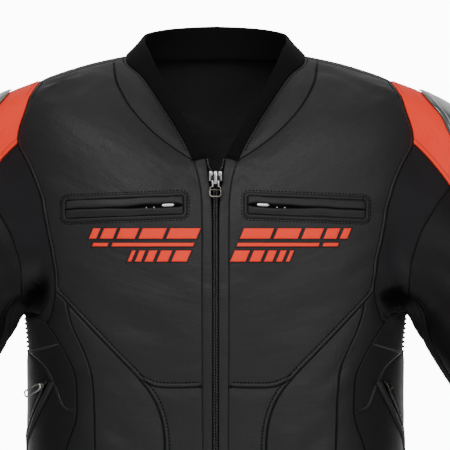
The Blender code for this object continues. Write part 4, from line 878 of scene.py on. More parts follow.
# The fine ribs of the stretch cloth are 1.3 mm apart.
ribScale = 1.0 / 0.0013 / 6.2832 * 3.14159


def seamRelief(finish):
    # a rolled and stitched edge, and a plain sunk seam, from their distances in millimetres
    roll = finish.measure("rollEdge")
    plain = finish.measure("plainEdge")
    swell = (roll * (4.8 - roll) * 0.174).clamped() * finishSizes["rollHeight"]
    rolled = swell - roll.hill(0.0, 0.55) * finishSizes["creaseHeight"] - roll.hill(5.5, 0.7) * 0.35
    sunk = plain.hill(1.9, 1.1) * 0.22 - plain.hill(0.0, 0.5) * 0.55
    shade = (roll.hill(0.0, 0.5) + plain.hill(0.0, 0.42) * 0.7 + roll.hill(5.5, 0.55) * 0.3).clamped()
    return rolled + sunk, shade, roll


def leatherFinish(name, base, worn, grain=1.0, shine=0.26, dull=0.0):
    finish = Finish(name)
    place = finish.here()
    cells = finish.cells(place, finishSizes["grain"], "SMOOTH_F1")
    fine = finish.noise(place, 1500.0, 3.0, 0.6)
    broad = finish.noise(place, 16.0, 3.0, 0.55)
    wrinkles = finish.noise(finish.stretched(finish.cloth(), (34.0, 120.0, 1.0)), 1.0, 4.0, 0.55)
    cross = finish.noise(finish.stretched(finish.cloth(), (150.0, 52.0, 1.0)), 1.0, 3.0, 0.6)
    sag = finish.noise(finish.stretched(finish.cloth(), (11.0, 24.0, 1.0)), 1.0, 2.0, 0.45)
    edge, shade, roll = seamRelief(finish)
    patch = (broad * 2.4 - 0.75).clamped()
    height = edge + (cells * 1.6 + fine * 0.7) * finishSizes["grainHeight"] * grain
    height = height + wrinkles * (0.25 + patch * 0.75) * 0.85 + cross * 0.35 + sag * 3.4
    tone = finish.blend((broad * 1.6 - 0.3).clamped(), colour(*base), colour(*worn))
    # painted highlight: a lighter band along the swell of the rolled edge, where it catches the light
    tone = finish.blend(roll.hill(2.4, 1.5) * 0.45, tone, shaded(base, 1.7))
    tone = finish.blend(shade * 0.8, tone, shaded(base, 0.2, 0.22))
    gloss = 0.50 + dull + cells * 0.16 - patch * 0.05 + shade * 0.2
    # painted shade: darker colour in the deep fold hollows
    tone = finish.blend(finish.measure("hollow") * 0.8, tone, shaded(base, 0.12, 0.13))
    finish.set(Base_Color=tone, Roughness=gloss, Normal=finish.relief(height), Specular_IOR_Level=shine,
               Sheen_Weight=dull * 0.9, Sheen_Roughness=0.35)
    return finish.material


def stretchFinish(name, base):
    finish = Finish(name)
    place = finish.here()
    ribs = finish.wave(finish.cloth(), ribScale, "Y", 0.4)
    fuzz = finish.noise(place, 2400.0, 2.0, 0.6)
    broad = finish.noise(place, 22.0, 3.0, 0.5)
    puckers = finish.noise(finish.stretched(finish.cloth(), (60.0, 26.0, 1.0)), 1.0, 3.0, 0.5)
    edge, shade, roll = seamRelief(finish)
    height = edge * 0.8 + ribs * 0.11 + fuzz * 0.05 + puckers * 0.55
    tone = finish.blend((broad * 1.5 - 0.25).clamped(), colour(*base), shaded(base, 1.45))
    tone = finish.blend(shade * 0.7, tone, shaded(base, 0.3))
    # painted highlight: lighter colour on the fold crests
    tone = finish.blend(finish.measure("crest") * 0.35, tone, shaded(base, 2.6))
    # painted shade: near black colour in the deep fold hollows, such as the armpits
    tone = finish.blend(finish.measure("hollow"), tone, shaded(base, 0.04, 0.05))
    finish.set(Base_Color=tone, Roughness=0.72 + fuzz * 0.18, Normal=finish.relief(height),
               Specular_IOR_Level=0.08, Sheen_Weight=0.02, Sheen_Roughness=0.45)
    return finish.material


def knitFinish(name, base):
    finish = Finish(name)
    place = finish.here()
    ribs = finish.wave(finish.cloth(), 200.0, "X", 0.6)
    loops = finish.wave(finish.cloth(), 330.0, "Y", 0.8)
    fuzz = finish.noise(place, 1900.0, 3.0, 0.6)
    tone = finish.blend(fuzz, colour(*base), shaded(base, 1.7))
    relief = finish.relief(ribs * 0.16 + loops * 0.10 + fuzz * 0.06)
    finish.set(Base_Color=tone, Roughness=0.78 + fuzz * 0.15, Normal=relief, Specular_IOR_Level=0.10,
               Sheen_Weight=0.02, Sheen_Roughness=0.4)
    return finish.material


def plainFinish(name, base, rough, metal, scale, change, bump, coat=0.0, shine=0.5, line=None):
    finish = Finish(name)
    place = finish.here()
    cloud = finish.noise(place, scale, 4.0, 0.6)
    fine = finish.noise(place, scale * 6.0, 2.0, 0.5)
    tone = finish.blend(cloud, shaded(base, 1 - change), shaded(base, 1 + change))
    if line:
        # a lighter line at a set distance from the rim, in millimetres
        tone = finish.blend(finish.measure("rim").hill(line, 0.75) * 0.85, tone, colour(0.46, 0.48, 0.47))
    finish.set(Base_Color=tone, Roughness=rough + (cloud - 0.5) * 0.12, Metallic=metal,
               Normal=finish.relief(fine * bump + cloud * bump), Specular_IOR_Level=shine, Coat_Weight=coat,
               Coat_Roughness=0.08)
    return finish.material


black = finishSizes["leather"]
# name, base, worn, grain, shine, dull
leathers = {
    "black_leather": ("matt_black_leather", black, scaled(black, 1.22)),
    "pocket_leather": ("soft_pocket_leather", scaled(black, 0.74), scaled(black, 0.9), 0.7),
    "sleeve_leather": ("matt_sleeve_leather", (0.0068, 0.0060, 0.0063), (0.0090, 0.0080, 0.0083), 0.8, 0.16),
    # painted shade: a darker copy of the black leather for the side panels, where the arms shade them
    "flank_leather": ("shaded_flank_leather", (0.0040, 0.0040, 0.0043), (0.0054, 0.0054, 0.0058), 0.8, 0.22,
                      0.16),
    # painted shade: a darker copy of the black leather for the front flank panels, where the arms shade them
    "lens_painted_shade": ("dark_front_flank_leather", (0.0090, 0.0090, 0.0096), (0.0115, 0.0115, 0.0122), 0.9,
                     0.24),
    "red_leather": ("bright_red_leather", finishSizes["red"], (1.0, 0.056, 0.026), 0.6, 0.12),
}
# name, colour, roughness, metal, scale, change, relief, coat, shine, line
plains = {
    "plate_gloss": ("glossy_shoulder_plate", (0.075, 0.086, 0.082), 0.20, 0.0, 160.0, 0.15, 0.015, 0.6, 0.5,
                    5.6),
    "bright_metal": ("bright_zip_metal", (0.86, 0.86, 0.84), 0.30, 1.0, 700.0, 0.08, 0.01),
    "dark_metal": ("dark_pull_metal", (0.115, 0.108, 0.090), 0.28, 1.0, 700.0, 0.15, 0.015),
    "slider_body": ("dark_slider_enamel", (0.012, 0.012, 0.012), 0.42, 0.0, 500.0, 0.1, 0.01, 0.0, 0.25),
    "teeth": ("zip_teeth", (0.075, 0.075, 0.079), 0.34, 0.6, 900.0, 0.2, 0.01, 0.0, 0.3),
    "zip_tape": ("zip_tape_weave", (0.0022, 0.0022, 0.0025), 0.85, 0.0, 2200.0, 0.3, 0.06, 0.0, 0.05),
    "dark_thread": ("dark_thread", (0.0008, 0.0008, 0.0009), 0.8, 0.0, 3000.0, 0.3, 0.05, 0.0, 0.03),
    "red_thread": ("red_thread", (0.60, 0.065, 0.035), 0.60, 0.0, 3000.0, 0.2, 0.05, 0.0, 0.1),
}
finishes = {key: leatherFinish(*row) for key, row in leathers.items()}
finishes["stretch"] = stretchFinish("black_stretch_cloth", finishSizes["stretch"])
finishes["collar_knit"] = knitFinish("collar_knit", finishSizes["knit"])
finishes.update({key: plainFinish(*row) for key, row in plains.items()})
print("finishes made")


def addPiece(name, verts, faces, finish, cutUv=None, measures=None):
    mesh = bpy.data.meshes.new(name)
    mesh.from_pydata(np.asarray(verts, float).tolist(), [], faces)
    mesh.validate()
    mesh.materials.append(finishes[finish])
    mesh.shade_smooth()
    if cutUv is not None:
        corner = np.zeros(len(mesh.loops), int)
        mesh.loops.foreach_get("vertex_index", corner)
        layer = mesh.uv_layers.new(name="cut")
        layer.data.foreach_set("uv", np.asarray(cutUv, np.float32)[corner].ravel())
    for key, values in (measures or {}).items():
        mesh.attributes.new(key, "FLOAT", "POINT").data.foreach_set("value", np.asarray(values, np.float32))
    piece = bpy.data.objects.new(name, mesh)
    bpy.context.scene.collection.objects.link(piece)
    return piece


def settle(piece, nodes=(), body="jacket"):
    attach(piece, body)
    if nodes:
        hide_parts(*nodes)
    return piece


def gridPiece(name, outer, inner, finish, closed=False, cutUv=None, measures=None):
    # a closed body between two grids of points
    rows, cols = outer.shape[:2]
    verts = np.concatenate([outer.reshape(-1, 3), inner.reshape(-1, 3)])
    half = rows * cols
    faces = []
    for i in range(rows if closed else rows - 1):
        k = (i + 1) % rows
        for j in range(cols - 1):
            a, b, c, d = i * cols + j, k * cols + j, k * cols + j + 1, i * cols + j + 1
            faces += [[a, b, c, d], [d + half, c + half, b + half, a + half]]
        first, last, firstK, lastK = i * cols, i * cols + cols - 1, k * cols, k * cols + cols - 1
        faces += [[firstK, first, first + half, firstK + half], [last, lastK, lastK + half, last + half]]
    if not closed:
        for j in range(cols - 1):
            end = (rows - 1) * cols + j
            faces += [[j, j + 1, j + 1 + half, j + half], [end + 1, end, end + half, end + 1 + half]]
    if signedVolume(verts - verts.mean(0), faces) < 0:
        faces = [f[::-1] for f in faces]
    if cutUv is None:
        u, v = np.meshgrid(np.arange(rows) * 0.001, np.arange(cols) * 0.001, indexing="ij")
        cutUv = np.stack([u, v], -1)
    both = np.concatenate([cutUv.reshape(-1, 2)] * 2)
    far = {key: np.full(len(verts), 40.0) for key in ("rollEdge", "plainEdge")}
    return addPiece(name, verts, faces, finish, both, {**far, **(measures or {})})


# Panels. rolled: seams where this panel's edge is turned under and stitched. pad: how far its middle swells.
rolledEdges = {
    "chest": ["hole_front", "hole_red_front", "chest_low_a", "chest_low_b", "chest_low_c"],
    "belly": ["belly"],
    "back": ["hole_back", "back_side"],
    "yoke": ["yoke", "hole_yoke"],
    "shoulder_red": ["red_front_a", "red_front_b", "red_back_a", "red_back_b"],
    "sleeve_outer": ["under_front", "under_back"],
}
# Flat seams: how far off, in metres, they act from, so that the cloth dips less beside them.
flatSeams = {"placket_up": 0.0036, "placket_low": 0.0036, "placket_in": 0.0120, "princess": 0.0026,
             "third_a": 0.0026,
             "third_b": 0.0026, "third_c": 0.0026, "pocket_top": 0.0026, "across": 0.0026}
faintSeams = ("placket_up", "placket_low", "placket_in")
swells = {"placket": ("placket_in", 0.0009, 0.0030)}
padded = {"neck_leaf": 0.0026, "shoulder_red": 0.0010, "chest": 0.0006, "belly": 0.0012, "side_front": 0.0014,
          "flank_lens": 0.0010, "gusset": 0.0, "placket": 0.0009}
padRest = {"high": 0.0004, "width": 0.013}
edgeDip = {"depth": 0.0010, "width": 0.0032}
# Fold heights between which a hollow gets painted shade and a crest a painted highlight.
foldShadeAndHighlight = {"hollow": (-0.0036, -0.0080), "crest": (0.0006, 0.0026)}
# The side and flank panels take the darker copies of the black leather, as painted shade from the arms.
panelFinish = {"sleeve_outer": "sleeve_leather", "side_upper": "flank_leather",
               "side_middle": "flank_leather",
               "side_lower": "flank_leather", "flank_lens": "lens_painted_shade"}


def panelPiece(name, chart, parts, shifts, key, spacing, thick, slot, halves=("left", "right")):
    pieces = [find(seams, item) if isinstance(item, str) else item for item in parts]
    names = [item.lstrip("-") if isinstance(item, str) else "" for item in parts]
    panelSeams[name] = pieces
    ab, p, n = joinedLoop(pieces, key, shifts)
    flat = chart.flat(ab[:, 0], ab[:, 1])
    if (flat[:, 0] * np.roll(flat[:, 1], -1) - np.roll(flat[:, 0], -1) * flat[:, 1]).sum() < 0:
        flat, p, n = flat[::-1], p[::-1], n[::-1]
    every, faces = cutFlat(flat, spacing, cloth["edgeRow"])
    a, b = chart.back(every[len(flat):])
    midN = chart.normal(a, b)
    raw = np.concatenate([pulledIn(p, n, cloth["seamGap"] / 2), chart.point(a, b)])
    normals = np.concatenate([n, midN])
    roll = np.full(len(raw), 1.0)
    plain = np.full(len(raw), 1.0)
    for seam, seamName in zip(pieces, names):
        away = segmentDistance(raw, seam.p)
        if seamName in rolledEdges.get(name, ()) or seamName.startswith(("hem", "cuff")):
            roll = np.minimum(roll, away)
        else:
            plain = np.minimum(plain, away + (0.0013 if seamName in faintSeams else 0.0))
    shut = np.full(len(raw), 1.0)
    swell = np.zeros(len(raw))
    for seam, seamName in zip(pieces, names):
        away = segmentDistance(raw, seam.p)
        if not seamName.startswith(("hem", "cuff")):
            shut = np.minimum(shut, away + flatSeams.get(seamName, 0.0))
        if seamName == swells.get(name, ("none",))[0]:
            swell += swells[name][1] * np.exp(-(((away - swells[name][2]) / swells[name][2]) ** 2))
    lift = swell - edgeDip["depth"] * np.exp(-((shut / edgeDip["width"]) ** 2))
    lift = lift + padded.get(name, padRest["high"]) * (1 - np.exp(-((shut / padRest["width"]) ** 2)))
    span = every.max(0) - every.min(0)
    for half in halves:
        flip = np.array([-1.0 if half == "right" else 1.0, 1.0, 1.0])
        place, out = raw * flip, normals * flip
        fold = foldRise(place)
        outer = place + out * (fold + lift)[:, None]
        inner = outer - out * thick
        shape = shellFaces(faces, len(flat), len(raw), half == "right")
        node = name if half == "both" else name + "_" + half
        piece = addPiece(node + "_panel", np.concatenate([outer, inner]), shape, panelFinish.get(name, slot),
                         np.concatenate([every, every]),
                         {"rollEdge": np.tile(roll * 1000, 2), "plainEdge": np.tile(plain * 1000, 2),
                          **{key: np.tile(np.clip((fold - low) / (high - low), 0, 1), 2)
                             for key, (low, high) in foldShadeAndHighlight.items()}})
        settle(piece, [node])
        corners = outer[np.array(shape[:len(faces)])]
        spread = np.cross(corners[:, 1] - corners[:, 0], corners[:, 2] - corners[:, 0])
        area = np.linalg.norm(spread, axis=1).sum() / 2
        x, y = every[:len(flat)].T
        drawn = abs((x * np.roll(y, -1) - np.roll(x, -1) * y).sum()) / 2
        grow = math.sqrt(area / drawn)
        span[0] * grow
        span[1] * grow


panelSeams = {}
seams = {name: torsoSeam(rows, fixedSteps.get(name)) for name, rows in torsoSeams.items()}
seams.update({name: holeSeam(*ends, fixedSteps.get(name)) for name, ends in holeArcs.items()})
seams.update({name: sleeveSeam(rows) for name, rows in sleeveSeams.items()})
print("seams laid out")

for name, names in torsoPanels.items():
    step = cloth["backStep"] if name == "back_side" else cloth["frontStep"]
    panelPiece(name, Torso, names, None, "torsoAb", step, cloth["leather"], "black_leather")
top = find(seams, "collar_back")
yokeParts = [top, top.turned().mirrored()]
yokeParts += [find(seams, item).turned().mirrored() for item in reversed(yokeSeams)]
yokeParts += [find(seams, "yoke").mirrored(), "-yoke"] + yokeSeams
yokeRow = find(seams, "yoke")
backParts = [yokeRow, yokeRow.turned().mirrored(), find(seams, "hole_back").turned().mirrored(),
             find(seams, "back_side").mirrored(), find(seams, "hem_back").mirrored(), "-hem_back",
             "-back_side", "hole_back"]
for name, parts in (("yoke", yokeParts), ("back", backParts)):
    panelPiece(name, Torso, parts, None, "torsoAb", cloth["backStep"], cloth["leather"], "black_leather",
               ("both",))
for name, (thick, slot, rows) in sleevePanels.items():
    panelPiece(name, Sleeve, [item for item, _ in rows], [shift for _, shift in rows], "sleeveAb",
               cloth["sleeveStep"], thick, slot)
print("panels sewn")

# Collar: a knitted band standing up from the collar seam, with a round top edge.
collarSizes = {"thick": 0.0030, "swell": 0.0010, "across": 15, "top": 7, "standOver": 13.0,
               "allowance": 0.005}
foot = joinedLoop([seams["collar_front"], seams["collar_back"]], "torsoAb")
halfAngle = np.append(foot[0][:, 0], math.pi)
halfLow = np.concatenate([foot[1], seams["collar_back"].p[-1:]])
topCurves = [Curve([row[0] for row in collarTop], [row[k] for row in collarTop]) for k in (1, 2, 3)]
halfHigh = np.stack([curve(np.degrees(halfAngle)) for curve in topCurves], -1)
halfOut = np.stack([np.sin(halfAngle), -np.cos(halfAngle), np.full(len(halfAngle), 0.25)], -1)
low, high, swell = [np.concatenate([half, mirrorX(half[:-1])[::-1]]) for half in (halfLow, halfHigh, halfOut)]
across = np.linspace(0, 1, collarSizes["across"])
band = low[:, None] * (1 - across[None, :, None]) + high[:, None] * across[None, :, None]
stand = np.clip(np.arange(len(low)) / collarSizes["standOver"], 0, 1)
stand = np.minimum(stand, stand[::-1])[:, None, None]
band = band + unit(swell)[:, None] * (np.sin(math.pi * across) * collarSizes["swell"])[None, :, None] * stand
bandN = unit(np.cross(np.gradient(band, axis=0), np.gradient(band, axis=1)))
if bandN[len(low) // 2, 2, 1] < 0:
    bandN = -bandN
upward = unit(high - low)
band[:, 0] += upward * cloth["seamGap"] / 2
thick = collarSizes["thick"]
topN = bandN[:, -1]
rows = [band[:, k] for k in range(len(across))]
for k in range(1, collarSizes["top"]):
    turn = math.pi * k / collarSizes["top"]
    rows.append(band[:, -1] - topN * thick * (1 - math.cos(turn)) / 2 + upward * thick * 0.5 * math.sin(turn))
rows += [band[:, k] - bandN[:, k] * thick for k in reversed(range(len(across)))]
rows += [band[:, 0] - bandN[:, 0] * thick - upward * collarSizes["allowance"],
         band[:, 0] - bandN[:, 0] * thick * 0.6 - upward * collarSizes["allowance"],
         band[:, 0] - bandN[:, 0] * thick * 0.55 - upward * 0.0003]
section = np.stack(rows, 1)
count, deep = section.shape[:2]
faces = []
for i in range(count - 1):
    for j in range(deep):
        k = (j + 1) % deep
        faces.append([i * deep + j, (i + 1) * deep + j, (i + 1) * deep + k, i * deep + k])
faces += [list(range(deep)), list(range(count * deep - 1, (count - 1) * deep - 1, -1))]
verts = section.reshape(-1, 3)
if signedVolume(verts - verts.mean(0), faces) < 0:
    faces = [f[::-1] for f in faces]
run = np.concatenate([[0], np.cumsum(np.linalg.norm(np.diff(section[:, 7], axis=0), axis=1))])
rise = np.concatenate([[0], np.cumsum(np.linalg.norm(np.diff(section[count // 2], axis=0), axis=1))])
cutUv = np.stack(np.meshgrid(run, rise, indexing="ij"), -1).reshape(-1, 2)
collar = addPiece("collar_band", verts, faces, "collar_knit", cutUv)
settle(collar, ["collar"])

# Ribbed stretch panels under the arms.
ribSizes = {"count": 9, "depth": 0.0028, "steps": 14, "fade": 0.0035, "rest": 0.0008}
topSeam, footSeam = seams["hole_ribs"], seams["rib_foot"]
down = np.linspace(0, 1, ribSizes["count"] * ribSizes["steps"] + 1)
ribAb = topSeam.torsoAb[None] * (1 - down[:, None, None]) + footSeam.torsoAb[None] * down[:, None, None]
ribRaw, ribN = torso(ribAb[..., 0], ribAb[..., 1]), torsoNormal(ribAb[..., 0], ribAb[..., 1])
ribRaw[0], ribN[0] = topSeam.p, topSeam.n
drop = np.linalg.norm(ribRaw[-1] - ribRaw[0], axis=1).mean()
sideways = np.linspace(0, 1, ribRaw.shape[1])
wide = np.linalg.norm(np.diff(ribRaw[len(down) // 2], axis=0), axis=1).sum()
fade = np.clip(np.minimum(down, 1 - down)[:, None] * drop / ribSizes["fade"], 0, 1)
fade = fade * np.clip(np.minimum(sideways, 1 - sideways)[None] * wide / ribSizes["fade"], 0, 1)
ribWave = np.cos(math.pi * ribSizes["count"] * down) ** 2
groove = ribSizes["depth"] * ribWave[:, None] * fade + ribSizes["rest"] * (1 - fade)
for half, sign in sides:
    raw, out = ribRaw * np.array([sign, 1, 1]), ribN * np.array([sign, 1, 1])
    face = raw + out * (foldRise(raw) - groove)[..., None]
    u, v = np.meshgrid(down * drop, sideways * wide, indexing="ij")
    under = face - out * cloth["stretch"]
    ribs = gridPiece("rib_panel_" + half + "_cloth", face, under, "stretch", cutUv=np.stack([v, u], -1))
    settle(ribs, ["rib_panel_" + half])
    slant = np.linalg.norm(np.diff(face, axis=0), axis=2).sum(0).mean()
    float(wide * slant)

# Hard shoulder plates with a bevelled rim.
plateSizes = {"lift": 0.0018, "step": 0.0027, "rim": 0.0058, "crown": 0.0005}
edgeRows = plateEdge + [(-a, b) for a, b in plateEdge[-2:0:-1]]
edgeAb = through([(a, b * armStation) for a, b in edgeRows + edgeRows[:1]], 150)[:-1]
edgeFlat = Sleeve.flat(np.radians(edgeAb[:, 0]), edgeAb[:, 1] / armStation)
if (edgeFlat[:, 0] * np.roll(edgeFlat[:, 1], -1) - np.roll(edgeFlat[:, 0], -1) * edgeFlat[:, 1]).sum() < 0:
    edgeFlat = edgeFlat[::-1]
every, faces = cutFlat(edgeFlat, plateSizes["step"], 0.0012)
fromEdge = edgeDistance(every, edgeFlat)
plateRise = 0.0010 + 0.0012 * (1 - np.exp(-fromEdge / 0.0006))
plateRise = plateRise + 0.0008 * np.clip(fromEdge / plateSizes["rim"], 0, 1)
plateRise += plateSizes["crown"] * (1 - np.exp(-np.maximum(fromEdge - plateSizes["rim"], 0) / 0.012))
turn, station = Sleeve.back(every)
plateP, plateN = sleeve(turn, station), sleeveNormal(turn, station)
for half, sign in sides:
    flip = np.array([sign, 1, 1])
    top = (plateP + plateN * (plateSizes["lift"] + plateRise)[:, None]) * flip
    under = (plateP + plateN * plateSizes["lift"]) * flip
    shape = shellFaces(faces, len(edgeFlat), len(every), sign < 0)
    plate = addPiece("shoulder_plate_" + half + "_shell", np.concatenate([top, under]), shape, "plate_gloss",
                     None,
                     {"rim": np.tile(fromEdge * 1000, 2)})
    settle(plate, ["shoulder_plate_" + half])
print("collar, ribs and plates made")

# Chest pockets. Widths are from the middle of the jacket outwards.
pocket = {"inner": 0.0345, "outer": 0.1632, "zInner": -0.1622, "zOuter": -0.1667, "half": 0.0101,
          "base": 0.0009,
          "borderWidth": 0.0042, "borderHeight": 0.0019, "lipReach": 0.0098, "lipHeight": 0.0024,
          "slit": 0.0003,
          "opening": 0.0015, "stitchOut": 0.0060, "dots": (0.0664, 0.0748), "perCorner": 9, "perSide": 44}


def pocketRing(grow, corner):
    halfL, halfH = (pocket["outer"] - pocket["inner"]) / 2 + grow, pocket["half"] + grow
    pts = []
    for sx, sz, first in ((1, 1, 90), (1, -1, 0), (-1, -1, -90), (-1, 1, 180)):
        for k in range(pocket["perCorner"] + 1):
            a = math.radians(first - 90 * k / pocket["perCorner"])
            pts.append((sx * (halfL - corner) + corner * math.cos(a),
                        sz * (halfH - corner) + corner * math.sin(a)))
    ring = []
    for a, b in zip(pts, pts[1:] + pts[:1]):
        cuts = pocket["perSide"] if abs(b[0] - a[0]) > halfL else (6 if abs(b[1] - a[1]) > halfH else 1)
        ring += [(a[0] + (b[0] - a[0]) * c / cuts, a[1] + (b[1] - a[1]) * c / cuts) for c in range(cuts)]
    ring = np.array(ring)
    share = (ring[:, 0] + (pocket["outer"] - pocket["inner"]) / 2) / (pocket["outer"] - pocket["inner"])
    x = (pocket["inner"] + pocket["outer"]) / 2 + ring[:, 0]
    return x, pocket["zInner"] + (pocket["zOuter"] - pocket["zInner"]) * share + ring[:, 1]


def slitHeight(x):
    fall = (pocket["zOuter"] - pocket["zInner"]) * (x - pocket["inner"])
    return pocket["zInner"] + fall / (pocket["outer"] - pocket["inner"])


def eased(x, a, b):
    s = np.clip((x - a) / (b - a), 0, 1)
    return s * s * (3 - 2 * s)


def onFrontRows(xs, zs, lifts):
    high = np.stack([np.broadcast_to(lift, np.shape(xs[0])) for lift in lifts], 1)
    return onFront(np.stack(xs, 1), np.stack(zs, 1), high)


def uvOf(grid):
    u = np.concatenate([[0], np.cumsum(np.linalg.norm(np.diff(grid[:, 0], axis=0), axis=1))])
    v = np.concatenate([[0], np.cumsum(np.linalg.norm(np.diff(grid[0], axis=0), axis=1))])
    return np.stack(np.meshgrid(u, v, indexing="ij"), -1)


pocketStitches = []
for half, sign in sides:
    grows = np.linspace(0, pocket["borderWidth"], 10)
    rings = [pocketRing(0.0001 + g, 0.0030 + 0.75 * g) for g in grows]
    hump = pocket["borderHeight"] * np.sin(math.pi * np.linspace(0.20, 0.96, 10)) ** 0.8
    border = onFrontRows([r[0] * sign for r in rings], [r[1] for r in rings], pocket["base"] + hump)
    under = onFrontRows([r[0] * sign for r in rings], [r[1] for r in rings], np.full(10, 0.0003))
    piece = gridPiece("chest_pocket_border_" + half + "_roll", border, under, "pocket_leather", True,
                      uvOf(border))
    settle(piece, ["chest_pocket_border_" + half])
    x = np.linspace(pocket["inner"] + 0.0003, pocket["outer"] - 0.0003, 70)
    outwards = (x - pocket["inner"]) / (pocket["outer"] - pocket["inner"])
    wedge = eased(outwards, 0.0, 0.05) * (1 - eased(outwards, 0.30, 0.62))
    gap = pocket["slit"] + pocket["opening"] * wedge
    sway = 0.0003 * np.sin(outwards * 11.0 + sign) + 0.0002 * np.sin(outwards * 23.0)
    for lip, side in (("upper", 1), ("lower", -1)):
        shares = np.array([0.0, 0.04, 0.10, 0.18, 0.28, 0.42, 0.58, 0.74, 0.88, 1.0])
        rolled = np.array([0.1, 0.55, 0.82, 0.96, 1.0, 0.96, 0.88, 0.78, 0.68, 0.58])
        ends = np.clip(np.minimum(outwards, 1 - outwards) / 0.012, 0, 1)
        reach = gap[None] + (pocket["lipReach"] * 0.97 - gap[None]) * shares[:, None]
        zs = [slitHeight(x) + sway + side * row for row in reach]
        curls = [h * (0.55 + 0.45 * ends) + 0.05 * np.sin(outwards * 17 + h * 3) for h in rolled]
        lifts = [pocket["base"] + pocket["lipHeight"] * curl for curl in curls]
        face = onFrontRows([x * sign] * 10, zs, lifts)
        back = onFrontRows([x * sign] * 10, zs, [0.0003] * 10)
        piece = gridPiece("chest_lip_%s_%s_roll" % (lip, half), face, back, "pocket_leather", False,
                          uvOf(face))
        settle(piece, ["chest_lip_%s_%s" % (lip, half)])
    bedZ = [slitHeight(x) - 0.0022, slitHeight(x), slitHeight(x) + 0.0022]
    bed = onFrontRows([x * sign] * 3, bedZ, (0.0007, 0.0011, 0.0007))
    under = bed - np.array([0, -0.0004, 0])
    settle(gridPiece("chest_zip_bed_" + half, bed, under, "zip_tape", False, uvOf(bed)))
    long = np.linspace(0, 1, 15)
    tabX = 0.0448 + 0.0134 * long
    tabHalf = 0.0017 * np.sqrt(np.maximum(1 - np.abs(2 * long - 1) ** 5, 0.02))
    across = np.linspace(-1, 1, 9)
    tabFace = onFrontRows([tabX * sign] * 9, [slitHeight(tabX) + sway[6] + tabHalf * a for a in across],
                          [0.0034 + 0.0016 * math.sqrt(max(1 - a * a, 0.03)) for a in across])
    tabBack = onFrontRows([tabX * sign] * 9, [slitHeight(tabX) + sway[6] + tabHalf * a for a in across],
                          [0.0030] * 9)
    tab = gridPiece("chest_pull_" + half + "_end", tabFace, tabBack, "bright_metal")
    settle(tab, ["chest_pull_" + half])
    for k, dotX in enumerate(pocket["dots"]):
        spots = np.stack(np.meshgrid(np.linspace(-1, 1, 7), np.linspace(-1, 1, 7), indexing="ij"), -1)
        far = np.maximum(np.linalg.norm(spots, axis=-1, keepdims=True), 1e-9)
        ball = spots / far * np.abs(spots).max(-1, keepdims=True)
        dome = np.sqrt(np.maximum(1 - (ball ** 2).sum(-1), 0.0))
        dotZ = slitHeight(dotX) - 0.0014 + 0.0009 * ball[..., 1]
        face = onFront((dotX + 0.0009 * ball[..., 0]) * sign, dotZ, 0.0024 + 0.0007 * dome)
        back = onFront((dotX + 0.0009 * ball[..., 0]) * sign, dotZ, np.full(dome.shape, 0.0009))
        settle(gridPiece("chest_zip_dot_%s_%d" % (half, k), face, back, "bright_metal"))
    ringX, ringZ = pocketRing(pocket["stitchOut"], 0.0085)
    phi, t = frontPlace(ringX * sign, ringZ)
    line = onFront(ringX * sign, ringZ, np.full(ringX.shape, 0.0007))
    pocketStitches.append((np.concatenate([line, line[:1]]),
                           torsoNormal(np.append(phi, phi[0]), np.append(t, t[0]))))
print("pockets made")

# Raised bars across the chest: plain slanted shapes of red leather on slightly larger dark patches.
barSizes = {"slant": 0.42, "red": 0.0006, "patch": 0.0003, "margin": 0.0016, "base": 0.0006}
# inner end, outer end, bottom, top
chestBars = [
    (0.0235, 0.0560, -0.1985, -0.1872), (0.0600, 0.0860, -0.1985, -0.1872),
    (0.0900, 0.1100, -0.1985, -0.1872),
    (0.1140, 0.1280, -0.1985, -0.1872), (0.1320, 0.1400, -0.1985, -0.1872),
    (0.0235, 0.1120, -0.2068, -0.2030), (0.1165, 0.1330, -0.2068, -0.2030),
    (0.0235, 0.0400, -0.2232, -0.2112), (0.0440, 0.0560, -0.2232, -0.2112),
    (0.0600, 0.0690, -0.2232, -0.2112),
    (0.0730, 0.0795, -0.2232, -0.2112), (0.0835, 0.0875, -0.2232, -0.2112),
]


def slantedBar(name, x0, x1, z0, z1, sign, lift, thick, finish):
    nx, nz = max(int((x1 - x0) / 0.0035), 3), max(int((z1 - z0) / 0.0025), 3)
    us = np.concatenate([[0, 0.0006 / (x1 - x0)], np.linspace(0, 1, nx + 1)[1:-1],
                         [1 - 0.0006 / (x1 - x0), 1]])
    vs = np.concatenate([[0, 0.0006 / (z1 - z0)], np.linspace(0, 1, nz + 1)[1:-1],
                         [1 - 0.0006 / (z1 - z0), 1]])
    u, v = np.meshgrid(us, vs, indexing="ij")
    z = z0 + (z1 - z0) * v
    x = sign * (x0 + (x1 - x0) * u) + barSizes["slant"] * (z + 0.205)
    rim = (np.minimum(u, 1 - u) < 1e-6) | (np.minimum(v, 1 - v) < 1e-6)
    face = onFront(x, z, lift + thick * np.where(rim, 0.35, 1.0))
    back = onFront(x, z, np.full(x.shape, lift - 0.0003))
    return gridPiece(name, face, back, finish, False, np.stack([x, z], -1))


for half, sign in sides:
    for k, (x0, x1, z0, z1) in enumerate(chestBars):
        m = barSizes["margin"]
        patch = slantedBar("chest_patch_%s_%d" % (half, k), x0 - m, x1 + m, z0 - m, z1 + m * 0.5, sign,
                           barSizes["base"],
                           barSizes["patch"], "pocket_leather")
        settle(patch)
        bar = slantedBar("chest_bar_%s_%d" % (half, k), x0, x1, z0, z1, sign,
                         barSizes["base"] + barSizes["patch"],
                         barSizes["red"], "red_leather")
        settle(bar)
print("chest bars made")


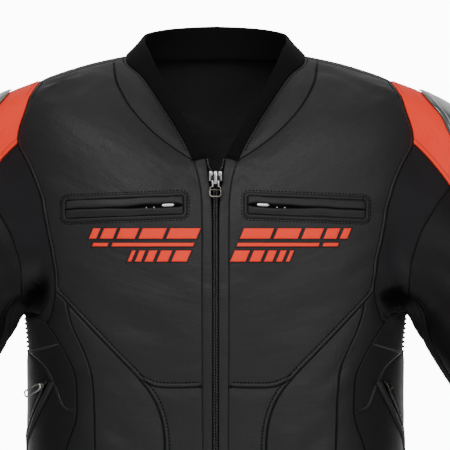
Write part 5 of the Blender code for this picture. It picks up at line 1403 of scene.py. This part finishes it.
def rowTree():
    # copies of a small piece, one after another along every line
    tree = bpy.data.node_groups.new("pieces_along_lines", "GeometryNodeTree")
    tree.interface.new_socket("Made", in_out="OUTPUT", socket_type="NodeSocketGeometry")
    keys = {}
    for label, kind in (("Lines", "NodeSocketGeometry"), ("Pitch", "NodeSocketFloat"),
                        ("Piece", "NodeSocketObject"),
                        ("Wobble", "NodeSocketFloat"), ("Seed", "NodeSocketInt"),
                        ("Finish", "NodeSocketMaterial")):
        keys[label] = tree.interface.new_socket(label, in_out="INPUT", socket_type=kind).identifier

    def add(kind, **settings):
        made = tree.nodes.new(kind)
        for key, setting in settings.items():
            setattr(made, key, setting)
        return made

    start, end = add("NodeGroupInput"), add("NodeGroupOutput")
    curve, normal = add("GeometryNodeMeshToCurve"), add("GeometryNodeSetCurveNormal", mode="FREE")
    facing = add("GeometryNodeInputNamedAttribute", data_type="FLOAT_VECTOR")
    facing.inputs["Name"].default_value = "facing"
    spots = add("GeometryNodeCurveToPoints", mode="LENGTH")
    shape, copies = add("GeometryNodeObjectInfo"), add("GeometryNodeInstanceOnPoints")
    change = add("FunctionNodeRandomValue", data_type="FLOAT")
    more, less = add("ShaderNodeMath", operation="ADD"), add("ShaderNodeMath", operation="SUBTRACT")
    more.inputs[0].default_value = 1.0
    less.inputs[0].default_value = 1.0
    real, smooth = add("GeometryNodeRealizeInstances"), add("GeometryNodeSetShadeSmooth")
    paint = add("GeometryNodeSetMaterial")
    for a, b in ((start.outputs["Lines"], curve.inputs[0]), (curve.outputs[0], normal.inputs["Curve"]),
                 (facing.outputs[0], normal.inputs["Normal"]), (normal.outputs[0], spots.inputs["Curve"]),
                 (start.outputs["Pitch"], spots.inputs["Length"]),
                 (spots.outputs["Points"], copies.inputs["Points"]),
                 (spots.outputs["Rotation"], copies.inputs["Rotation"]),
                 (start.outputs["Piece"], shape.inputs["Object"]),
                 (shape.outputs["Geometry"], copies.inputs["Instance"]),
                 (start.outputs["Wobble"], more.inputs[1]),
                 (start.outputs["Wobble"], less.inputs[1]), (less.outputs[0], change.inputs[2]),
                 (more.outputs[0], change.inputs[3]), (start.outputs["Seed"], change.inputs["Seed"]),
                 (change.outputs[1], copies.inputs["Scale"]), (copies.outputs[0], real.inputs[0]),
                 (real.outputs[0], smooth.inputs[0]), (smooth.outputs[0], paint.inputs[0]),
                 (start.outputs["Finish"], paint.inputs["Material"]), (paint.outputs[0], end.inputs[0])):
        tree.links.new(a, b)
    return tree, keys


piecesAlong, rowKeys = rowTree()
rowSeed = 3


def smallPiece(name, high, wide, long, kind):
    # outwards is X, across is Y and along is Z
    bm = bmesh.new()
    if kind == "stitch":
        bmesh.ops.create_uvsphere(bm, u_segments=6, v_segments=4, radius=0.5)
    else:
        bmesh.ops.create_cube(bm, size=1.0)
        for vert in bm.verts:
            vert.co.y *= 0.78 if vert.co.x > 0 else 1.0
            vert.co.z *= 0.72 if vert.co.x > 0 else 1.0
    bmesh.ops.scale(bm, vec=(high, wide, long), verts=bm.verts)
    if kind == "tooth":
        bmesh.ops.bevel(bm, geom=bm.edges[:], offset=0.00012, segments=1, affect="EDGES")
    mesh = bpy.data.meshes.new(name)
    bm.to_mesh(mesh)
    bm.free()
    return bpy.data.objects.new(name, mesh)


def laidAlong(name, lines, piece, pitch, finish, slot, wobble=0.06):
    points = np.concatenate([line for line, _ in lines])
    normals = np.concatenate([normal for _, normal in lines])
    edges = []
    first = 0
    for line, _ in lines:
        edges += [(first + i, first + i + 1) for i in range(len(line) - 1)]
        first += len(line)
    mesh = bpy.data.meshes.new(name)
    mesh.from_pydata(points.tolist(), edges, [])
    mesh.attributes.new("facing", "FLOAT_VECTOR",
                        "POINT").data.foreach_set("vector", normals.astype(np.float32).ravel())
    holder = bpy.data.objects.new(name, mesh)
    bpy.context.scene.collection.objects.link(holder)
    rows = holder.modifiers.new("rows", "NODES")
    rows.node_group = piecesAlong
    rows[rowKeys["Pitch"]] = pitch
    rows[rowKeys["Piece"]] = piece
    rows[rowKeys["Wobble"]] = wobble
    rows[rowKeys["Seed"]] = rowSeed
    rows[rowKeys["Finish"]] = finishes[finish]
    made = bpy.data.meshes.new_from_object(holder.evaluated_get(bpy.context.evaluated_depsgraph_get()))
    holder.modifiers.remove(rows)
    holder.data = made
    made.name = name
    settle(holder)


# Seams sewn through from outside, by thread. panel, seam, distance in from the seam in metres
sewnLines = {
    "dark_thread": [
        ("chest", "hole_front", 0.0056), ("chest", "hole_red_front", 0.0056),
        ("chest", "chest_low_a", 0.0054), ("chest", "chest_low_b", 0.0054),
        ("chest", "chest_low_c", 0.0054), ("placket", "placket_up", 0.0024),
        ("placket", "placket_low", 0.0024), ("neck_leaf", "collar_front", 0.0040),
        ("belly", "belly", 0.0052), ("side_lower", "pocket_top", 0.0034), ("yoke", "yoke", 0.0040),
        ("back", "yoke", 0.0050), ("back", "back_side", 0.0050), ("back", "hole_back", 0.0052),
        ("sleeve_outer", "under_front", 0.0042), ("sleeve_outer", "under_back", 0.0042),
        ("sleeve_outer", "cuff_outer", 0.0090), ("sleeve_under", "cuff_under", 0.0090),
        ("placket", "hem_placket", 0.0100), ("belly", "hem_belly", 0.0100),
        ("side_front", "hem_side_front", 0.0100), ("flank_lens", "hem_lens", 0.0100),
        ("side_lower", "hem_side", 0.0100), ("back_side", "hem_back_side", 0.0100),
        ("back", "hem_back", 0.0100),
    ],
    "red_thread": [
        ("shoulder_red", "hole_red_front", 0.0048), ("shoulder_red", "hole_red_back", 0.0048),
    ],
}
threadSizes = {"high": 0.0008, "wide": 0.0012, "long": 0.0022, "pitch": 0.0039, "clear": 0.86}


def besideSeam(panel, seamName, gap):
    seam = seams[seamName]
    along = unit(np.gradient(seam.p, axis=0))
    side = unit(np.cross(seam.n, along))
    centre = np.concatenate([other.p for other in panelSeams[panel]]).mean(0)
    if ((centre - seam.p) * side).sum(1).mean() < 0:
        side = -side
    place = seam.p + side * gap
    good = np.ones(len(place), bool)
    for other in panelSeams[panel]:
        if segmentDistance(seam.p, other.p).max() > 1e-5:
            good &= segmentDistance(place, other.p) > threadSizes["clear"] * gap
    inner = np.flatnonzero(good)
    if not len(inner):
        inner = np.arange(len(place))
    return place[inner[0]:inner[-1] + 1], seam.n[inner[0]:inner[-1] + 1]


threads = {"dark_thread": list(pocketStitches), "red_thread": []}
for thread, panel, seamName, gap in [(thread, *row) for thread, rows in sewnLines.items() for row in rows]:
    place, out = besideSeam(panel, seamName, gap)
    dip = edgeDip["depth"] * math.exp(-((gap / edgeDip["width"]) ** 2))
    if seamName.startswith(("hem", "cuff")):
        dip = 0.0
    lift = padded.get(panel,
                      padRest["high"]) * (1 - math.exp(-((gap / padRest["width"]) ** 2))) - dip + 0.0001
    for sign in (1.0, -1.0):
        flip = np.array([sign, 1.0, 1.0])
        rise = (foldRise(place * flip) + lift)[:, None]
        threads[thread].append((place * flip + out * flip * rise, out * flip))
stitch = smallPiece("stitch", threadSizes["high"], threadSizes["wide"], threadSizes["long"], "stitch")
for thread, lines in threads.items():
    laidAlong("stitches_" + thread, lines, stitch, threadSizes["pitch"], thread,
              "red_leather" if thread == "red_thread" else "black_leather")
print("seams stitched")

# Front zip: tapes that run under the placket, with teeth in two rows, and open above the slider.
zipSizes = {"top": -0.1385, "rowAt": 0.0013, "pitch": 0.00165, "high": 0.0012, "wide": 0.0023,
            "long": 0.00090,
            "rows": 130, "toothRows": 90, "openRows": 20}
z = np.linspace(zipSizes["top"], hemZ + 0.001, zipSizes["rows"])
tapeX = np.array([-0.0090, -0.0052, -0.0040, -0.0022, 0.0, 0.0022, 0.0040, 0.0052, 0.0090])
tapeLift = np.array([-0.0030, -0.0028, -0.0019, -0.0012, -0.0010, -0.0012, -0.0019, -0.0028, -0.0030])
face = onFrontRows([np.full(len(z), x) for x in tapeX], [z] * len(tapeX), tapeLift)
tape = gridPiece("zip_chain_tape", face, face + np.array([0.0, 0.0007, 0.0]), "zip_tape", False, uvOf(face))
settle(tape, ["zip_chain"])
tooth = smallPiece("tooth", zipSizes["high"], zipSizes["wide"], zipSizes["long"], "tooth")
teethLines = []
for side, shift in ((1, 0.0), (-1, zipSizes["pitch"] / 2)):
    zz = np.linspace(zipSizes["top"] - shift, hemZ + 0.004, zipSizes["toothRows"])
    x = np.full(len(zz), side * zipSizes["rowAt"])
    phi, t = frontPlace(x, zz)
    teethLines.append((onFront(x, zz, np.full(len(zz), -0.0003)), torsoNormal(phi, t)))
openZ = np.linspace(-0.1120, -0.1372, zipSizes["openRows"])
innerRows = torsoSeams["placket_in"]
innerPhi = np.radians(Curve([-row[1] for row in innerRows], [row[0] for row in innerRows])(-openZ))
innerX = torso(innerPhi, ringAt(innerPhi, openZ))[:, 0]
for half, sign in sides:
    at = np.minimum(innerX - 0.0012, 0.0006 + np.abs(openZ - zipSizes["top"]) * 0.42)
    xs = [sign * (at + d) for d in (-0.0022, -0.0008, 0.0010, 0.0050)]
    face = onFrontRows(xs, [openZ] * 4, (-0.0010, -0.0010, -0.0016, -0.0030))
    tape = gridPiece("zip_open_%s_tape" % half, face, face + np.array([0.0, 0.0007, 0.0]), "zip_tape", False,
                     uvOf(face))
    settle(tape, ["zip_open_" + half])
    phi, t = frontPlace(sign * (at - 0.0012), openZ)
    teethLines.append((onFront(sign * (at - 0.0012), openZ, np.full(len(openZ), -0.0003)),
                       torsoNormal(phi, t)))
laidAlong("front_teeth", teethLines, tooth, zipSizes["pitch"], "teeth", "dark_metal", 0.02)


def roundedCopy(node, finish, width, body="jacket"):
    # the node's own form with its corners rounded over
    source = bpy.data.objects[node]
    bm = bmesh.new()
    bm.from_mesh(source.data)
    bm.transform(source.matrix_world)
    bmesh.ops.remove_doubles(bm, verts=bm.verts, dist=1e-6)
    bmesh.ops.dissolve_limit(bm, angle_limit=0.03, verts=bm.verts, edges=bm.edges)
    corners = [e for e in bm.edges if e.is_manifold and e.calc_face_angle() > math.radians(25)]
    bmesh.ops.bevel(bm, geom=corners, offset=width, segments=3, profile=0.55, affect="EDGES",
                    clamp_overlap=True)
    mesh = bpy.data.meshes.new(node + "_form")
    bm.to_mesh(mesh)
    bm.free()
    mesh.materials.clear()
    mesh.materials.append(finishes[finish])
    mesh.shade_smooth()
    mesh.set_sharp_from_angle(angle=math.radians(38))
    piece = bpy.data.objects.new(node + "_form", mesh)
    bpy.context.scene.collection.objects.link(piece)
    return settle(piece, [node], body)


def block(name, low, high, bevel, finish, body="jacket", nodes=()):
    low, high = np.array(low), np.array(high)
    bm = bmesh.new()
    bmesh.ops.create_cube(bm, size=1.0)
    bmesh.ops.scale(bm, vec=tuple(high - low), verts=bm.verts)
    bmesh.ops.translate(bm, vec=tuple((low + high) / 2), verts=bm.verts)
    bmesh.ops.bevel(bm, geom=bm.edges[:], offset=bevel, segments=3, profile=0.5, affect="EDGES",
                    clamp_overlap=True)
    mesh = bpy.data.meshes.new(name)
    bm.to_mesh(mesh)
    bm.free()
    mesh.materials.append(finishes[finish])
    mesh.shade_smooth()
    piece = bpy.data.objects.new(name, mesh)
    bpy.context.scene.collection.objects.link(piece)
    return settle(piece, nodes, body)


# Slider: a dark body with two bright lobes, a bright bridge between them and two short prongs below.
# name, low corner, high corner, rounding, finish
sliderBlocks = [
    ("slider_form", (-0.0068, -0.1258, -0.1358), (0.0068, -0.1160, -0.1256), 0.0012, "slider_body"),
    ("slider_neck", (-0.0043, -0.1256, -0.1404), (0.0043, -0.1190, -0.1340), 0.0008, "slider_body"),
    ("slider_bridge", (-0.0018, -0.1272, -0.1390), (0.0018, -0.1244, -0.1253), 0.0008, "bright_metal"),
]
# name, inner end, outer end, front, back, bottom, top, rounding. Each lies on both sides.
sliderPairs = [
    ("slider_lobe_upper", 0.0029, 0.0073, -0.1270, -0.1232, -0.1302, -0.1253, 0.0013),
    ("slider_lobe_lower", 0.0047, 0.0073, -0.1270, -0.1232, -0.1361, -0.1280, 0.0013),
    ("slider_prong", 0.0023, 0.0041, -0.1262, -0.1240, -0.1424, -0.1355, 0.0005),
]
crossbar = {"low": (-0.0060, -0.1275, -0.1462), "high": (0.0060, -0.1258, -0.1448), "rounding": 0.0005}
for name, low, high, rounding, finish in sliderBlocks:
    block(name, low, high, rounding, finish, nodes=["slider"]
          if name == "slider_form" else ())
for sign in (1.0, -1.0):
    for name, inner, outer, front, rear, bottom, top, rounding in sliderPairs:
        near, far = sorted((sign * inner, sign * outer))
        block("%s_%d" % (name, sign), (near, front, bottom), (far, rear, top), rounding, "bright_metal")
roundedCopy("puller", "dark_metal", 0.00035, "front_puller")
block("puller_crossbar", crossbar["low"], crossbar["high"], crossbar["rounding"], "dark_metal",
      "front_puller")
print("front zip made")

# Side pocket zips with their leather welts.
sideZip = {"halfTape": 0.0034, "rowAt": 0.0009, "pitch": 0.0015, "weltFrom": 0.0034, "weltTo": 0.0108,
           "weltHigh": 0.0021,
           "base": 0.0005, "radius": 0.165, "high": 0.0009, "wide": 0.0021, "long": 0.00085}
# torso angle, height
sideZipRows = [(67.3, -0.3560), (72.5, -0.3800), (79.5, -0.4080), (88.0, -0.4350), (96.0, -0.4720),
               (99.0, -0.4950)]
zipRun = through(sideZipRows, 90)
zipPhi = np.radians(zipRun[:, 0])


def besideZip(offset, lift, sign, shift=0.0):
    phi = zipPhi - offset / sideZip["radius"]
    height = zipRun[:, 1] - shift
    t = ringAt(phi, height)
    flip = np.array([sign, 1.0, 1.0])
    p, n = torso(phi, t) * flip, torsoNormal(phi, t) * flip
    return p + n * (foldRise(p) + lift)[:, None], n


sideTeeth = []
weltThread = []
for half, sign in sides:
    offsets = np.array([-1.0, -0.55, 0.0, 0.55, 1.0]) * sideZip["halfTape"]
    heights = (0.0004, 0.0010, 0.0013, 0.0010, 0.0004)
    face = np.stack([besideZip(o, sideZip["base"] + h, sign)[0] for o, h in zip(offsets, heights)], 1)
    back = np.stack([besideZip(o, 0.0001, sign)[0] for o in offsets], 1)
    tape = gridPiece("side_zip_%s_tape" % half, face, back, "zip_tape", False, uvOf(face))
    settle(tape, ["side_zip_" + half])
    shares = np.linspace(0, 1, 9)
    offsets = sideZip["weltFrom"] + (sideZip["weltTo"] - sideZip["weltFrom"]) * shares
    hump = sideZip["weltHigh"] * np.sin(math.pi * (0.07 + 0.86 * shares)) ** 0.7
    face = np.stack([besideZip(o, sideZip["base"] + h, sign)[0] for o, h in zip(offsets, hump)], 1)
    back = np.stack([besideZip(o, 0.0001, sign)[0] for o in offsets], 1)
    welt = gridPiece("side_welt_%s_roll" % half, face, back, "black_leather", False, uvOf(face))
    settle(welt, ["side_welt_" + half])
    for o, shift in ((sideZip["rowAt"], 0.0), (-sideZip["rowAt"], sideZip["pitch"] / 2)):
        sideTeeth.append(besideZip(o, sideZip["base"] + 0.0016, sign, shift))
    weltThread.append(besideZip(sideZip["weltTo"] + 0.0026, 0.0006, sign))
    weltThread.append(besideZip(-sideZip["halfTape"] - 0.0030, 0.0006, sign))
    roundedCopy("side_slider_" + half, "dark_metal", 0.0009)
smallTooth = smallPiece("small_tooth", sideZip["high"], sideZip["wide"], sideZip["long"], "tooth")
laidAlong("side_teeth", sideTeeth, smallTooth, sideZip["pitch"], "teeth", "dark_metal", 0.02)
laidAlong("stitches_pocket", weltThread, stitch, threadSizes["pitch"], "dark_thread", "black_leather")
roundedCopy("side_pull_right", "bright_metal", 0.00035, "side_puller")
print("side pockets made")

# Studio: a pale floor far below, soft lights, and the camera at the photograph's place.
studio = {"floor": -1.05, "reach": 3.2, "sky": 0.12, "behind": 0.95, "seen": 12.0}
# place, aim, width, height, power
lamps = {
    "key": ((-0.7, -2.5, 1.5), (0, 0, -0.20), 1.5, 1.1, 60.0),
    "fill": ((1.5, -2.6, 0.5), (0, 0, -0.25), 1.3, 1.3, 31.0),
    "rimLeft": ((-1.1, 1.4, -0.6), (-0.2, 0, -0.45), 0.7, 1.5, 9.0),
    "rimRight": ((1.1, 1.4, -0.6), (0.2, 0, -0.45), 0.7, 1.5, 9.0),
    "top": ((0.0, 0.2, 1.9), (0, 0, -0.1), 1.6, 1.0, 8.0),
}
# The photograph is this many pixels wide, and at this distance it takes in this many metres.
photo = {"pixels": 450.0, "middle": 215.5, "apart": 2.7, "across": 0.486, "place": (0.0, -2.835, -0.1836),
         "sensor": 36.0}


def placed(name, data, spot=(0.0, 0.0, 0.0)):
    holder = bpy.data.objects.new(name, data)
    holder.location = spot
    bpy.context.scene.collection.objects.link(holder)
    return holder


reach, low = studio["reach"], studio["floor"]
mesh = bpy.data.meshes.new("floor")
mesh.from_pydata([(x * reach, y * reach, low) for x, y in ((-1, -1), (1, -1), (1, 1), (-1, 1))], [],
                 [(0, 1, 2, 3)])
floorFinish = Finish("pale_floor")
soft = floorFinish.noise(floorFinish.here(), 3.0, 3.0)
paint = floorFinish.blend(soft, colour(0.88, 0.88, 0.88), colour(0.92, 0.92, 0.92))
floorFinish.set(Base_Color=paint, Roughness=0.75)
mesh.materials.append(floorFinish.material)
placed("floor", mesh)

# The air is brighter behind the jacket than in front of it, and the camera sees it white.
world = bpy.data.worlds.new("studio_air")
bpy.context.scene.world = world
world.use_nodes = True
air = world.node_tree.nodes["Background"]
aim, split, towards, seen, path, mixed = [world.node_tree.nodes.new("ShaderNode" + kind) for kind in (
    "TexCoord", "SeparateXYZ", "MapRange", "Background", "LightPath", "MixShader")]
air.inputs["Color"].default_value = (1.0, 1.0, 1.0, 1.0)
seen.inputs["Color"].default_value = (1.0, 1.0, 1.0, 1.0)
seen.inputs["Strength"].default_value = studio["seen"]
for key, value in (("From Min", 0.15), ("From Max", 0.75), ("To Min", studio["sky"]),
                   ("To Max", studio["behind"])):
    towards.inputs[key].default_value = value
for a, b in ((aim.outputs["Generated"], split.inputs[0]), (split.outputs["Y"], towards.inputs["Value"]),
             (towards.outputs["Result"], air.inputs["Strength"]),
             (path.outputs["Is Camera Ray"], mixed.inputs[0]),
             (air.outputs[0], mixed.inputs[1]), (seen.outputs[0], mixed.inputs[2]),
             (mixed.outputs[0], world.node_tree.nodes["World Output"].inputs["Surface"])):
    world.node_tree.links.new(a, b)

for name, (spot, aim, width, height, power) in lamps.items():
    lamp = bpy.data.lights.new(name, "AREA")
    lamp.shape = "RECTANGLE"
    lamp.size, lamp.size_y = width, height
    lamp.energy = power
    placed(name, lamp, spot).rotation_euler = (Vector(aim) - Vector(spot)).to_track_quat("-Z", "Y").to_euler()

lens = bpy.data.cameras.new("photo_camera")
lens.sensor_width = photo["sensor"]
lens.lens = photo["sensor"] * photo["apart"] / photo["across"]
lens.shift_x = (photo["pixels"] / 2 - photo["middle"]) / photo["pixels"]
camera = placed("photo_camera", lens, photo["place"])
camera.rotation_euler = (math.radians(90.0), 0.0, 0.0)
bpy.context.scene.camera = camera

print("scene ready")
